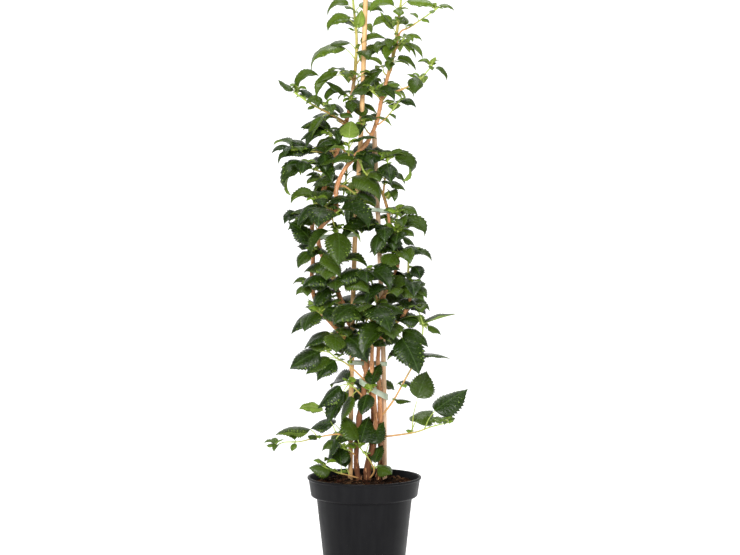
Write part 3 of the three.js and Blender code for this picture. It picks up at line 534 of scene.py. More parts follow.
up = np.array([0.0, 0.0, 1.0])


def unit(v):
    return v / max(np.linalg.norm(v), 1e-9)


# A smooth curve through a plan's points, as closely spaced points. A closed one ends where it starts.
def smoothLine(points, closed=False, perSpan=20):
    knots = np.array(points, float)
    if closed:
        ends = np.vstack([knots[-1:], knots, knots[:2]])
    else:
        ends = np.vstack([2 * knots[0] - knots[1], knots, 2 * knots[-1] - knots[-2]])
    steps = np.linspace(0, 1, perSpan, endpoint=False)[:, None]
    parts = []
    for before, start, end, after in zip(ends, ends[1:], ends[2:], ends[3:]):
        parts.append(
            0.5 * (2 * start + (end - before) * steps
                   + (2 * before - 5 * start + 4 * end - after) * steps**2
                   + (3 * start - before - 3 * end + after) * steps**3)
        )
    parts.append(ends[-2:-1])
    return np.vstack(parts)


def lengthsAlong(line):
    return np.concatenate([[0], np.cumsum(np.linalg.norm(np.diff(line, axis=0), axis=1))])


# Points at these shares of a line's length.
def pointsAt(line, shares):
    lengths = lengthsAlong(line)
    wanted = np.asarray(shares) * lengths[-1]
    return np.column_stack([np.interp(wanted, lengths, line[:, i]) for i in range(3)])


# Two directions across a line at each of its points, carried along it without twisting.
def framesAlong(points):
    tangents = np.gradient(points, axis=0)
    tangents /= np.linalg.norm(tangents, axis=1)[:, None]
    first = np.cross(tangents[0], up if abs(tangents[0][2]) < 0.9 else np.array([0.0, 1.0, 0.0]))
    sides = [unit(first)]
    for tangent in tangents[1:]:
        sides.append(unit(sides[-1] - tangent * np.dot(sides[-1], tangent)))
    sides = np.array(sides)
    return tangents, sides, np.cross(tangents, sides)


# What a piece is built from. spots holds three numbers per vertex that its material reads.
class Heap:
    def __init__(self):
        self.vertices, self.faces, self.slots, self.spots, self.tones = [], [], [], [], []
        self.count = 0

    def add(self, vertices, faces, slot=0, spots=None, tone=(0, 0, 0)):
        vertices = np.asarray(vertices, float).reshape(-1, 3)
        self.faces += [tuple(i + self.count for i in face) for face in faces]
        self.slots += list(slot) if hasattr(slot, "__len__") else [slot] * len(faces)
        self.vertices.append(vertices)
        spots = np.zeros_like(vertices) if spots is None else np.asarray(spots, float)
        self.spots.append(spots.reshape(-1, 3))
        self.tones.append(np.tile(np.asarray(tone, float), (len(vertices), 1)))
        self.count += len(vertices)

    def piece(self, name, materials, smooth=True):
        mesh = bpy.data.meshes.new(name)
        mesh.from_pydata((np.vstack(self.vertices) * mm).tolist(), [], self.faces)
        for material in materials:
            mesh.materials.append(material)
        mesh.polygons.foreach_set("material_index", np.array(self.slots, np.int32))
        mesh.polygons.foreach_set("use_smooth", np.full(len(self.faces), smooth))
        for label, values in (("spot", self.spots), ("tone", self.tones)):
            layer = mesh.attributes.new(label, "FLOAT_VECTOR", "POINT")
            layer.data.foreach_set("vector", np.vstack(values).astype(np.float32).ravel())
        mesh.validate()
        made = bpy.data.objects.new(name, mesh)
        bpy.context.scene.collection.objects.link(made)
        return made


def put(made, slot, *nodes):
    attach(made, "root")
    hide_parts(*nodes)


# Faces between rings of equal count, with flat ends, or closed into a loop.
def ringFaces(rings, count, looped=False):
    faces = []
    for i in range(rings if looped else rings - 1):
        here, after = i * count, ((i + 1) % rings) * count
        for j in range(count):
            k = (j + 1) % count
            faces.append((here + j, here + k, after + k, after + j))
    if not looped:
        faces.append(tuple(reversed(range(count))))
        faces.append(tuple(range((rings - 1) * count, rings * count)))
    return faces


# A tube along points. radii has one value per ring, or one per ring and side. Its spots are
# (distance along it, angle, share of its length).
def addTube(heap, points, radii, sides, slot=0, tone=(0, 0, 0)):
    _, first, second = framesAlong(points)
    angles = np.arange(sides) * 2 * math.pi / sides
    radii = np.asarray(radii, float)
    if radii.ndim == 1:
        radii = np.repeat(radii[:, None], sides, axis=1)
    rings = (points[:, None, :]
             + first[:, None, :] * (radii * np.cos(angles))[:, :, None]
             + second[:, None, :] * (radii * np.sin(angles))[:, :, None])
    lengths = lengthsAlong(points)
    spots = np.stack([np.repeat(lengths[:, None], sides, 1),
                      np.tile(angles, (len(points), 1)),
                      np.repeat((lengths / lengths[-1])[:, None], sides, 1)], axis=2)
    heap.add(rings, ringFaces(len(points), sides), slot, spots, tone)


# A small helper that adds nodes to one material and links them by name.
class Shader:
    def __init__(self, name, roughness=0.5, specular=0.5):
        self.material = bpy.data.materials.new(name)
        self.material.use_nodes = True
        self.tree = self.material.node_tree
        self.surface = self.tree.nodes["Principled BSDF"]
        self.surface.inputs["Roughness"].default_value = roughness
        self.surface.inputs["Specular IOR Level"].default_value = specular

    # An input named i0, i1 and so on is meant by its place, any other by its name.
    def node(self, kind, settings=None, **inputs):
        made = self.tree.nodes.new("ShaderNode" + kind)
        for key, value in (settings or {}).items():
            setattr(made, key, value)
        for key, value in inputs.items():
            byPlace = key[0] == "i" and key[1:].isdigit()
            self.feed(made.inputs[int(key[1:]) if byPlace else key], value)
        return made

    def feed(self, socket, value):
        if isinstance(value, bpy.types.NodeSocket):
            self.tree.links.new(value, socket)
        elif isinstance(value, tuple) and len(value) == 3 and socket.type == "RGBA":
            socket.default_value = (*value, 1)
        else:
            socket.default_value = value

    def set(self, name, value):
        self.feed(self.surface.inputs[name], value)

    def attribute(self, name):
        read = self.node("Attribute", {"attribute_name": name})
        parts = self.node("SeparateXYZ", None, Vector=read.outputs["Vector"])
        return parts.outputs["X"], parts.outputs["Y"], parts.outputs["Z"]

    def place(self):
        return self.node("TexCoord").outputs["Object"]

    def math(self, operation, a, b=0.0, c=0.0):
        return self.node("Math", {"operation": operation}, i0=a, i1=b, i2=c).outputs[0]

    def between(self, value, low, high, start=0.0, end=1.0):
        made = self.node("MapRange", {"interpolation_type": "SMOOTHSTEP"}, Value=value)
        for key, number in (("From Min", low), ("From Max", high), ("To Min", start), ("To Max", end)):
            self.feed(made.inputs[key], number)
        return made.outputs[0]

    def noise(self, scale, detail=3.0, roughness=0.5, vector=None, stretch=None):
        vector = vector or self.place()
        if stretch:
            vector = self.node("Mapping", None, Vector=vector, Scale=stretch).outputs[0]
        made = self.node("TexNoise", None, Vector=vector, Scale=scale, Detail=detail, Roughness=roughness)
        return made.outputs[0]

    # A place on a tube's skin for noise that runs along it, stretched by this share of the distance.
    def alongTube(self, stretch):
        distance, angle, share = self.attribute("spot")
        around = self.math("MULTIPLY", self.math("SINE", angle), 3.0)
        across = self.math("MULTIPLY", self.math("COSINE", angle), 3.0)
        far = self.math("MULTIPLY", distance, stretch)
        return self.node("CombineXYZ", None, X=around, Y=across, Z=far).outputs[0], share

    def mix(self, share, a, b):
        made = self.node("Mix", {"data_type": "RGBA"})
        self.feed(made.inputs[0], share)
        self.feed(made.inputs[6], a)
        self.feed(made.inputs[7], b)
        return made.outputs[2]

    def bump(self, height, distance, strength=1.0, normal=None):
        made = self.node("Bump", None, Height=height, Distance=distance, Strength=strength)
        if normal:
            self.feed(made.inputs["Normal"], normal)
        return made.outputs[0]


leafLooks = {
    "topDark": (0.003, 0.010, 0.001),
    "topMid": (0.015, 0.036, 0.001),
    "topYoung": (0.19, 0.30, 0.022),
    "topVein": (0.060, 0.115, 0.020),
    # The underside colours are partly the leaf's own paler underside and partly painted light shining through
    # the thin blade.
    "under": (0.19, 0.29, 0.045),
    "underYoungLitThrough": (0.31, 0.42, 0.050),
    "underVein": (0.32, 0.41, 0.12),
    "topShine": 0.3,
    "underShine": 0.1,
    "topRoughness": (0.2, 0.36),
    "underRoughness": 0.6,
}


# Spots on a blade are (distance from the midrib, vein count from the foot, share of the length), and
# its tone is (a number of its own, how young it is, 0).
def leafMaterial(name, top):
    shine = leafLooks["topShine"] if top else leafLooks["underShine"]
    shader = Shader(name, leafLooks["underRoughness"], shine)
    offMidrib, veins, _ = shader.attribute("spot")
    own, young, _ = shader.attribute("tone")
    distance = shader.math("ABSOLUTE", offMidrib)
    fromVein = shader.math("ABSOLUTE", shader.math("SUBTRACT", shader.math("FRACT", veins), 0.5))
    fromVein = shader.math("SUBTRACT", 0.5, fromVein)
    midrib = shader.between(distance, 0.35, 0.95, 1, 0)
    sideVein = shader.between(fromVein, 0.02, 0.075, 1, 0)
    net = shader.node("TexVoronoi", {"feature": "DISTANCE_TO_EDGE"}, Vector=shader.place(), Scale=520.0)
    netLine = shader.between(net.outputs["Distance"], 0.02, 0.11, 1, 0)
    patches = shader.noise(90.0, 4.0, 0.6)
    if top:
        base = shader.mix(shader.between(patches, 0.3, 0.72), leafLooks["topDark"], leafLooks["topMid"])
        base = shader.mix(shader.math("MULTIPLY", own, 0.55), base, leafLooks["topMid"])
        base = shader.mix(young, base, leafLooks["topYoung"])
        base = shader.mix(shader.math("MULTIPLY", netLine, 0.06), base, leafLooks["topVein"])
        base = shader.mix(shader.math("MULTIPLY", sideVein, 0.22), base, leafLooks["topVein"])
        colour = shader.mix(shader.math("MULTIPLY", midrib, 0.55), base, leafLooks["topVein"])
    else:
        # Underside: its own paler green, brightened and yellowed as painted light shining through the blade,
        # more so on young leaves.
        base = shader.mix(young, leafLooks["under"], leafLooks["underYoungLitThrough"])
        base = shader.mix(shader.between(patches, 0.35, 0.7, 0, 0.3), base, leafLooks["topMid"])
        base = shader.mix(shader.math("MULTIPLY", netLine, 0.18), base, leafLooks["underVein"])
        base = shader.mix(shader.math("MULTIPLY", sideVein, 0.5), base, leafLooks["underVein"])
        colour = shader.mix(shader.math("MULTIPLY", midrib, 0.85), base, leafLooks["underVein"])
    shader.set("Base Color", colour)
    if top:
        worn = shader.noise(160.0, 3.0)
        shader.set("Roughness", shader.between(worn, 0.3, 0.7, *leafLooks["topRoughness"]))
    sunk = shader.math("MULTIPLY", shader.math("MAXIMUM", midrib, sideVein), -1.0 if top else 1.0)
    height = shader.math("ADD", sunk, shader.math("MULTIPLY", netLine, -0.35 if top else 0.4))
    fine = shader.math("MULTIPLY", shader.noise(1400.0, 2.0), 0.3)
    shader.set("Normal", shader.bump(shader.math("ADD", height, fine), 0.00022, 0.8))
    return shader.material


greenLooks = {
    "pale": (0.50, 0.60, 0.13),
    "green": (0.25, 0.37, 0.05),
    "tan": (0.62, 0.29, 0.12),
    "roughness": 0.45,
    "shine": 0.3,
}


# Young wood and stalks. A tone's first number turns it from green to tan.
def greenMaterial(name):
    shader = Shader(name, greenLooks["roughness"], greenLooks["shine"])
    _, _, along = shader.attribute("spot")
    woody, young, _ = shader.attribute("tone")
    streaks = shader.noise(420.0, 4.0, 0.6, stretch=(1, 1, 0.25))
    green = shader.mix(shader.between(streaks, 0.3, 0.7), greenLooks["green"], greenLooks["pale"])
    wood = shader.math("MULTIPLY", woody, shader.between(along, 0.25, 0.9, 1, 0))
    colour = shader.mix(wood, green, greenLooks["tan"])
    dots = shader.node("TexVoronoi", None, Vector=shader.place(), Scale=650.0).outputs["Distance"]
    colour = shader.mix(shader.between(dots, 0.08, 0.2, 0.5, 0), colour, greenLooks["tan"])
    shader.set("Base Color", colour)
    shader.set("Normal", shader.bump(streaks, 0.0003, 0.6))
    return shader.material


barkLooks = {
    "dark": (0.085, 0.026, 0.012),
    "brown": (0.46, 0.175, 0.070),
    "tan": (0.78, 0.40, 0.19),
    "pale": (0.88, 0.62, 0.42),
    "green": (0.30, 0.34, 0.06),
    "shine": 0.15,
}


def barkMaterial(name):
    shader = Shader(name, specular=barkLooks["shine"])
    strip, share = shader.alongTube(0.16)
    fibres = shader.noise(1.6, 6.0, 0.65, vector=strip)
    patches = shader.noise(0.5, 4.0, 0.6, vector=strip)
    cracks = shader.noise(3.4, 5.0, 0.7, vector=strip)
    body = shader.mix(shader.between(fibres, 0.35, 0.62), barkLooks["brown"], barkLooks["tan"])
    body = shader.mix(shader.between(patches, 0.55, 0.68, 0, 0.8), body, barkLooks["pale"])
    old = shader.between(share, 0.14, 0.36, 0.85, 0)
    body = shader.mix(old, body, barkLooks["dark"])
    body = shader.mix(shader.between(cracks, 0.6, 0.7, 0, 0.85), body, barkLooks["dark"])
    shader.set("Base Color", shader.mix(shader.between(share, 0.9, 1, 0, 0.7), body, barkLooks["green"]))
    shader.set("Roughness", shader.between(fibres, 0.3, 0.7, 0.62, 0.88))
    shader.set("Normal", shader.bump(shader.math("ADD", fibres, cracks), 0.0009, 0.9))
    return shader.material


caneLooks = {
    "gold": (0.86, 0.54, 0.24),
    "tan": (0.66, 0.36, 0.15),
    "grey": (0.80, 0.60, 0.44),
    "dark": (0.16, 0.075, 0.035),
    "greyPatches": 0.6,  # how far patches turn a weathered cane grey
    "goldPatches": 0.2,  # and a golden one
}


# Bamboo: gold or weathered grey, with fine fibres and darker specks.
def caneMaterial(name, grey):
    shader = Shader(name, 0.5)
    strip, _ = shader.alongTube(0.035)
    fibres = shader.noise(2.6, 6.0, 0.7, vector=strip)
    patches = shader.noise(0.35, 3.0, 0.5, vector=strip)
    light = caneLooks["grey"] if grey else caneLooks["gold"]
    patched = caneLooks["greyPatches"] if grey else caneLooks["goldPatches"]
    colour = shader.mix(shader.between(fibres, 0.35, 0.65), light, caneLooks["tan"])
    colour = shader.mix(shader.between(patches, 0.5, 0.7, 0, patched), colour, caneLooks["grey"])
    specks = shader.noise(1.3, 5.0, 0.8, vector=strip)
    colour = shader.mix(shader.between(specks, 0.66, 0.74, 0, 0.8), colour, caneLooks["dark"])
    shader.set("Base Color", colour)
    shader.set("Roughness", shader.between(fibres, 0.3, 0.7, 0.38, 0.6))
    shader.set("Normal", shader.bump(fibres, 0.0004, 0.7))
    return shader.material


tieLooks = {"pale": (0.50, 0.56, 0.44), "green": (0.34, 0.42, 0.30), "roughness": (0.32, 0.5)}


def tieMaterial():
    shader = Shader("soft tie plastic")
    cloud = shader.noise(120.0, 3.0)
    shader.set("Base Color", shader.mix(shader.between(cloud, 0.3, 0.7), tieLooks["pale"], tieLooks["green"]))
    shader.set("Roughness", shader.between(cloud, 0.3, 0.7, *tieLooks["roughness"]))
    distance, _, _ = shader.attribute("spot")
    ribs = shader.math("SINE", shader.math("MULTIPLY", distance, 4.2))
    shader.set("Normal", shader.bump(ribs, 0.00012, 0.6))
    return shader.material


potLooks = {
    "black": (0.005, 0.005, 0.006),
    "grey": (0.009, 0.009, 0.010),
    "dust": (0.07, 0.06, 0.05),
    "roughness": (0.34, 0.52),
    "shine": 0.075,
}


# Moulded black plastic: fine grain, faint upright flow marks, scuffs and a little dust on the ledges.
def potMaterial():
    shader = Shader("moulded pot plastic", specular=potLooks["shine"])
    place = shader.place()
    height = shader.node("SeparateXYZ", None, Vector=place).outputs["Z"]
    flow = shader.noise(14.0, 5.0, 0.6, stretch=(6, 6, 0.5))
    cloud = shader.noise(26.0, 4.0, 0.6)
    colour = shader.mix(shader.between(flow, 0.3, 0.7), potLooks["black"], potLooks["grey"])
    specks = shader.noise(900.0, 2.0, 0.5)
    normal = shader.node("NewGeometry").outputs["Normal"]
    facing = shader.node("SeparateXYZ", None, Vector=normal).outputs["Z"]
    thick = shader.between(cloud, 0.4, 0.65, 0.05, 0.5)
    ledge = shader.math("MULTIPLY", shader.between(facing, 0.3, 0.9), thick)
    dust = shader.math("MAXIMUM", ledge, shader.between(specks, 0.68, 0.76, 0, 0.25))
    low = shader.math("MULTIPLY", shader.between(height, 0.0, 0.02, 0.25, 0), cloud)
    colour = shader.mix(shader.math("MAXIMUM", dust, low), colour, potLooks["dust"])
    shader.set("Base Color", colour)
    uneven = shader.math("ADD", cloud, flow)
    shader.set("Roughness", shader.between(uneven, 0.7, 1.3, *potLooks["roughness"]))
    grain = shader.noise(2600.0, 2.0, 0.6)
    shader.set("Normal", shader.bump(grain, 0.00006, 0.5, shader.bump(flow, 0.0004, 0.25)))
    return shader.material


soilLooks = {
    "dark": (0.004, 0.002, 0.001),
    "brown": (0.017, 0.007, 0.003),
    "red": (0.055, 0.018, 0.008),
    "pale": (0.17, 0.085, 0.04),
    "roughness": 0.9,
    "shine": 0.08,
}


# Compost: a tone's first number picks each crumb's own brown.
def soilMaterial():
    shader = Shader("bark compost", soilLooks["roughness"], soilLooks["shine"])
    own, pale, _ = shader.attribute("tone")
    fibres = shader.noise(500.0, 5.0, 0.7)
    colour = shader.mix(shader.between(own, 0.1, 0.6), soilLooks["dark"], soilLooks["brown"])
    colour = shader.mix(shader.between(own, 0.6, 1.0, 0, 0.8), colour, soilLooks["red"])
    colour = shader.mix(pale, colour, soilLooks["pale"])
    colour = shader.mix(shader.between(fibres, 0.3, 0.6, 0.6, 0), colour, soilLooks["dark"])
    shader.set("Base Color", colour)
    shader.set("Normal", shader.bump(fibres, 0.0012, 0.9))
    return shader.material


leafTop = leafMaterial("leaf upper side", True)
leafUnder = leafMaterial("leaf underside", False)
greenStem = greenMaterial("green shoot")
bark = barkMaterial("peeling bark")
print("materials made")


# Leaves. High ones are slender and arched, low ones broad with clear teeth.
leafShape = {
    "slender": 0.55,  # width as a share of the length, above slenderFrom
    "broad": 0.76,  # and below broadUpTo
    "slenderFrom": 650,
    "broadUpTo": 420,
    "stalk": 0.28,  # of the blade's length, where a leaf states none
    "stalkRadius": 0.75,
    "stalkLift": 30,  # degrees that a stalk rises more steeply than its blade
    "roll": 34,  # degrees that a blade turns its upper side to the front
    "rollSpread": 14,
    "thickness": 0.34,
    "teeth": {30: 12, 17: 9, 0: 6},  # how many a side, on blades longer than this
    "wideFrom": 17,  # blades longer than this have four columns of faces a side, others two
    "sway": 18,  # degrees that a blade may bend sideways
    "twist": 20,  # degrees that its tip may be turned
    "veins": 6.5,
    "toothDepth": 0.2,
    "lateCurl": 0.25,  # share of the curl that comes late, near the tip
}
# The blade's half width, as a share of its greatest, at shares of its length.
outlineAt = [0, 0.02, 0.06, 0.13, 0.24, 0.36, 0.5, 0.64, 0.77, 0.87, 0.94, 1]
outlineHalf = [0.0, 0.3, 0.56, 0.8, 0.96, 1.0, 0.95, 0.79, 0.55, 0.30, 0.13, 0.0]
fineOutline = smoothLine([(a, h, 0) for a, h in zip(outlineAt, outlineHalf)], perSpan=8)


def outline(shares):
    return np.maximum(np.interp(shares, fineOutline[:, 0], fineOutline[:, 1]), 0)


def turned(angle, out):
    return out * math.cos(angle) + up * math.sin(angle)


def flatway(degrees):
    return np.array([math.cos(math.radians(degrees)), math.sin(math.radians(degrees)), 0.0])


# One leaf from a point on its twig. chance gives the small differences between leaves.
def addLeaf(leaves, stalks, foot, plan, chance, young):
    heading, rise, length, curl = plan[1:5]
    stalk = plan[5] if len(plan) > 5 else leafShape["stalk"] * length
    out = flatway(heading)
    level = np.array([-out[1], out[0], 0.0])
    roll = leafShape["roll"] * level[1] + leafShape["rollSpread"] * math.sin(heading + 3 * length)
    roll = math.radians(plan[6] if len(plan) > 6 else roll)
    start = math.radians(rise)
    turn = math.radians(curl or 0.1)
    stalkRise = math.radians(rise + leafShape["stalkLift"] * math.cos(start))
    neck = foot + turned(stalkRise, out) * stalk
    broadUpTo, slenderFrom = leafShape["broadUpTo"], leafShape["slenderFrom"]
    high = min(1.0, max(0.0, (foot[2] - broadUpTo) / (slenderFrom - broadUpTo)))
    usual = leafShape["broad"] + (leafShape["slender"] - leafShape["broad"]) * high
    width = usual + chance.uniform(-0.05, 0.05)
    width = plan[7] if len(plan) > 7 else width
    # Rows follow the teeth: a slope out along each one, then a quick step back.
    teeth = next(count for longer, count in leafShape["teeth"].items() if length > longer)
    slope = (0, 0.5, 0.93)
    shares = np.array([(k + part) / teeth for k in range(teeth) for part in slope] + [1.0])
    bite = np.array(slope * teeth + (0.0,))
    sides = 4 if length > leafShape["wideFrom"] else 2
    late = leafShape["lateCurl"]
    angles = start - 1.08 * turn * ((1 - late) * shares + late * shares**2.2)
    steps = np.diff(shares)[:, None] * length
    middle = (angles[1:] + angles[:-1]) / 2
    moves = steps * (np.outer(np.cos(middle), out) + np.outer(np.sin(middle), up))
    centres = neck + np.vstack([np.zeros(3), np.cumsum(moves, axis=0)])
    sway = math.radians(chance.uniform(-leafShape["sway"], leafShape["sway"]))
    centres += np.outer(length * math.sin(sway) * 0.35 * shares**2, level)
    twist = roll + math.radians(chance.uniform(-leafShape["twist"], leafShape["twist"])) * shares
    across = np.outer(np.cos(twist), level) + np.outer(np.sin(twist), up)
    along = np.outer(np.cos(angles), out) + np.outer(np.sin(angles), up)
    across -= along * np.sum(across * along, axis=1)[:, None]
    across /= np.linalg.norm(across, axis=1)[:, None]
    raised = np.cross(along, across)
    half = outline(shares) * width * length / 2
    depth = leafShape["toothDepth"] * (1 - 0.55 * high)
    tooth = 1 + depth * (bite - 0.45) * np.clip(shares * 6 - 0.4, 0, 1)
    folded = chance.random() < 0.25 + 0.3 * high
    fold = chance.uniform(0.42, 0.7) if folded else chance.uniform(0.04, 0.24)
    droop = chance.uniform(0.1, 0.3) if folded else chance.uniform(0.32, 0.66)
    waves = chance.uniform(1.6, 2.8)
    phases = [chance.uniform(0, 6.28), chance.uniform(0, 6.28)]
    waveDepth = chance.uniform(0.008, 0.03) * length
    top, under, spots = [], [], []
    for t in np.linspace(-1, 1, 2 * sides + 1):
        size = abs(t)
        reach = half * (1 + (tooth - 1) * size**4)
        side = 0 if t < 0 else 1
        veinStart = (0.62 * size * half + 0.3 * size * size * half) / length
        veins = (shares - veinStart) * leafShape["veins"] + 0.175 * side
        grooveDepth = 0.016 * length * size * (1.15 - size) * np.clip(shares * 5, 0, 1)
        wave = np.sin(waves * 6.28 * shares + phases[side]) * np.sin(math.pi * shares)
        lift = reach * (fold * size - droop * size**2.2) + waveDepth * size**2 * wave
        lift = lift - np.cos(veins * 2 * math.pi) * grooveDepth
        line = centres + across * (reach * t * math.cos(fold * 0.8))[:, None] + raised * lift[:, None]
        thin = leafShape["thickness"] / 2 * (1 - 0.55 * size)
        rib = (0.55 if size < 0.01 else 0.0) * (1 - 0.8 * shares) * np.minimum(1, half / 2)
        top.append(line + raised * thin)
        under.append(line - raised * (thin + rib)[:, None])
        spots.append(np.column_stack([half * t, veins, shares]))
    columns, rows = 2 * sides + 1, len(shares)
    below = rows * columns
    faces, slots = [], []
    for i in range(rows - 1):
        for j in range(columns - 1):
            a = i * columns + j
            faces.append((a + 1, a + columns + 1, a + columns, a))
            faces.append((a + below, a + below + columns, a + below + columns + 1, a + below + 1))
            slots += [0, 1]
        for j in (0, columns - 1):
            a, b = i * columns + j, (i + 1) * columns + j
            face = (a, b, b + below, a + below)
            faces.append(face if j == 0 else face[::-1])
            slots.append(0)
    for i in (0, rows - 1):
        for j in range(columns - 1):
            a = i * columns + j
            face = (a, a + below, a + below + 1, a + 1)
            faces.append(face if i == 0 else face[::-1])
            slots.append(0)
    grid = [np.stack(layer, axis=1).reshape(-1, 3) for layer in (top, under, spots)]
    leaves.add(np.vstack(grid[:2]), faces, slots, np.vstack([grid[2]] * 2), (chance.random(), young, 0))
    # The stalk bends into the blade's start and runs on a little below it.
    bend = [foot, foot + turned(stalkRise + 0.1, out) * stalk * 0.5, neck - raised[0] * 0.25,
            centres[3] - raised[3] * 0.45, centres[6] - raised[6] * 0.35]
    path = pointsAt(smoothLine(bend, perSpan=6), np.linspace(0, 1, 9))
    radius = leafShape["stalkRadius"] * min(1.0, 0.5 + length / 90)
    addTube(stalks, path, radius * np.linspace(1.1, 0.45, 9), 6, 0, (0.15 * chance.random(), young, 0))


# How young the leaves are at a height: yellower towards the top and on short blades.
def youthOf(z, length, chance):
    age = np.clip((z - 600) / 420, 0, 0.42) + max(0.0, (26 - length) / 40) + chance.uniform(-0.12, 0.2)
    return float(np.clip(age, 0, 1))


woodLines = {name: smoothLine(plan["line"]) for name, plan in stems.items()}
growth = {
    "woody": 0.85,  # how tan a shoot's foot is
    "leaderWoody": 0.4,
    "rootReach": 16,  # a twig that starts this near a stem is run on into its middle
    "budLeaf": (6, 13),  # young leaves beside a grown leaf's foot
    "tipLeaf": (9, 17),  # and round the tip of a shoot
    "sprayEvery": 15,
    "sprayFrom": 300,
    "sprayReach": (4, 15),
    "sprayLeaf": (15, 34),
    "bare": {  # heights between which a stem carries no spray
        "stem_left": (325, 470), "stem_right": (330, 392), "stem_front": (478, 625), "stem_middle": (0, 0),
    },
}


# Runs a twig's line back to the middle of the stem beside its foot.
def rooted(line, name):
    foot = np.array(line[0], float)
    nearest, gap = None, growth["rootReach"]
    for wood in woodLines.values():
        gaps = np.linalg.norm(wood - foot, axis=1)
        if gaps.min() < gap:
            gap, nearest = gaps.min(), wood[gaps.argmin()]
    if nearest is None or gap < 1 or name in leaders:
        return smoothLine(line)
    return smoothLine([nearest - up * gap * 0.4, *line])


def addYoungLeaves(leaves, stalks, foot, heading, count, sizes, chance):
    for i in range(count):
        turn = heading + 360 * i / count + chance.uniform(-35, 35)
        length = chance.uniform(*sizes)
        rise, curl = chance.uniform(20, 65), chance.uniform(50, 115)
        plan = (0, turn, rise, length, curl, length * chance.uniform(0.15, 0.4))
        addLeaf(leaves, stalks, foot, plan, chance, chance.uniform(0.5, 1))


def addShoot(name, plan, woody, leaves, stalks):
    chance = random.Random(name)
    line = smoothLine(plan["line"])
    length = lengthsAlong(line)[-1]
    first, last = plan["radius"]
    whole = rooted(plan["line"], name)
    shares = np.linspace(0, 1, max(8, int(lengthsAlong(whole)[-1] / 3)))
    radii = first + (last - first) * shares
    for one in plan["leaves"]:
        radii += 0.5 * np.exp(-(((shares - one[0]) * length / 1.6) ** 2)) / len(plan["leaves"]) ** 0.5
    addTube(stalks, pointsAt(whole, shares), radii, 8, 0, (woody, 0, 0))
    for i, one in enumerate(plan["leaves"]):
        share = max(0.01, one[0] - 0.01 - 0.004 * i)
        foot = pointsAt(line, [share])[0] + 0.45 * (first + (last - first) * share) * flatway(one[1])
        addLeaf(leaves, stalks, foot, one, chance, youthOf(foot[2], one[3], chance))
        if one[3] > 22 and chance.random() < 0.75:
            count = chance.choice((1, 2))
            addYoungLeaves(leaves, stalks, foot, one[1] + 90, count, growth["budLeaf"], chance)
    # Young leaves and a small bud close the tip.
    tip, before = pointsAt(line, [1, 0.97])
    heading, count = chance.uniform(0, 360), chance.choice((2, 3, 4))
    addYoungLeaves(leaves, stalks, tip, heading, count, growth["tipLeaf"], chance)
    lean = unit(tip - before)
    bud = np.array([tip - lean, tip + lean * 1.2, tip + lean * 3.2, tip + lean * 4.6])
    addTube(stalks, bud, [last, last * 1.5, last * 0.9, 0.15], 6, 0, (0, 0.5, 0))


# A short spur on old wood with a few leaves.
def addSpray(leaves, stalks, foot, heading, chance):
    reach = chance.uniform(*growth["sprayReach"])
    tip = foot + turned(math.radians(chance.uniform(10, 60)), flatway(heading)) * reach
    line = smoothLine([foot, (foot + tip) / 2 - up * 0.8, tip, tip + up * 2], perSpan=5)
    addTube(stalks, line, np.linspace(1.2, 0.7, len(line)), 6, 0, (0.5, 0, 0))
    count = chance.choice((2, 3, 3, 4))
    for i in range(count):
        side = -1 if i % 2 else 1
        length = chance.uniform(*growth["sprayLeaf"])
        place = pointsAt(line, [1 - 0.22 * (i // 2)])[0]
        turn = heading + side * chance.uniform(15, 100)
        rise, curl = chance.uniform(-5, 45), chance.uniform(45, 105)
        plan = (0, turn, rise, length, curl, length * chance.uniform(0.12, 0.3))
        addLeaf(leaves, stalks, place, plan, chance, youthOf(place[2], length, chance))


for plans, ending, woody in ((shoots, "", growth["woody"]), (leaders, "_leader", growth["leaderWoody"])):
    for name, plan in plans.items():
        leaves, stalks = Heap(), Heap()
        addShoot(name, plan, woody, leaves, stalks)
        put(leaves.piece(name + ending + "_leaves", [leafTop, leafUnder]), "foliage", name)
        put(stalks.piece(name + ending + "_twig", [greenStem]), "foliage", name)
print("shoots grown:", len(shoots) + len(leaders))
for name, wood in woodLines.items():
    chance = random.Random(name + " sprays")
    leaves, stalks = Heap(), Heap()
    total = lengthsAlong(wood)[-1]
    low, high = growth["bare"][name]
    at = chance.uniform(0, growth["sprayEvery"])
    while at < total:
        foot = pointsAt(wood, [at / total])[0]
        heading = chance.uniform(0, 360)
        if foot[2] > growth["sprayFrom"] and not low < foot[2] < high:
            addSpray(leaves, stalks, foot, heading, chance)
        at += growth["sprayEvery"] * chance.uniform(0.6, 1.4)
    put(leaves.piece(name + "_spray_leaves", [leafTop, leafUnder]), "foliage", name)
    put(stalks.piece(name + "_spray_twigs", [greenStem]), "foliage", name)
print("sprays grown")


stemShape = {
    "sides": 14, "step": 1.6, "knotEvery": 34, "knotSize": 0.256, "knotReach": 4.5,
    "ridge": 0.0591, "grain": 0.035,
    "flakes": 46, "flakeLength": (5, 15), "flakeWidth": (0.8, 2.2), "flakeThickness": 0.14,
}


# A strip of bark that has come loose: held along its lower part and curling off at its end.
def addFlake(heap, point, tangent, outward, side, size, chance):
    length, width, thick = size
    lift = chance.uniform(0.6, 2.2)
    rings = []
    for share in np.linspace(0, 1, 6):
        centre = point + tangent * length * share + outward * (0.12 + lift * share**2.5)
        half = side * width / 2 * (1 - 0.6 * share**3) * (0.55 + 0.45 * min(1, share * 6))
        deep = outward * thick
        rings.append([centre + half, centre + deep, centre - half, centre - deep])
    spot = [chance.uniform(0, 300), chance.uniform(0, 6), 0.5]
    heap.add(np.array(rings), ringFaces(6, 4), 0, np.tile(spot, (24, 1)))


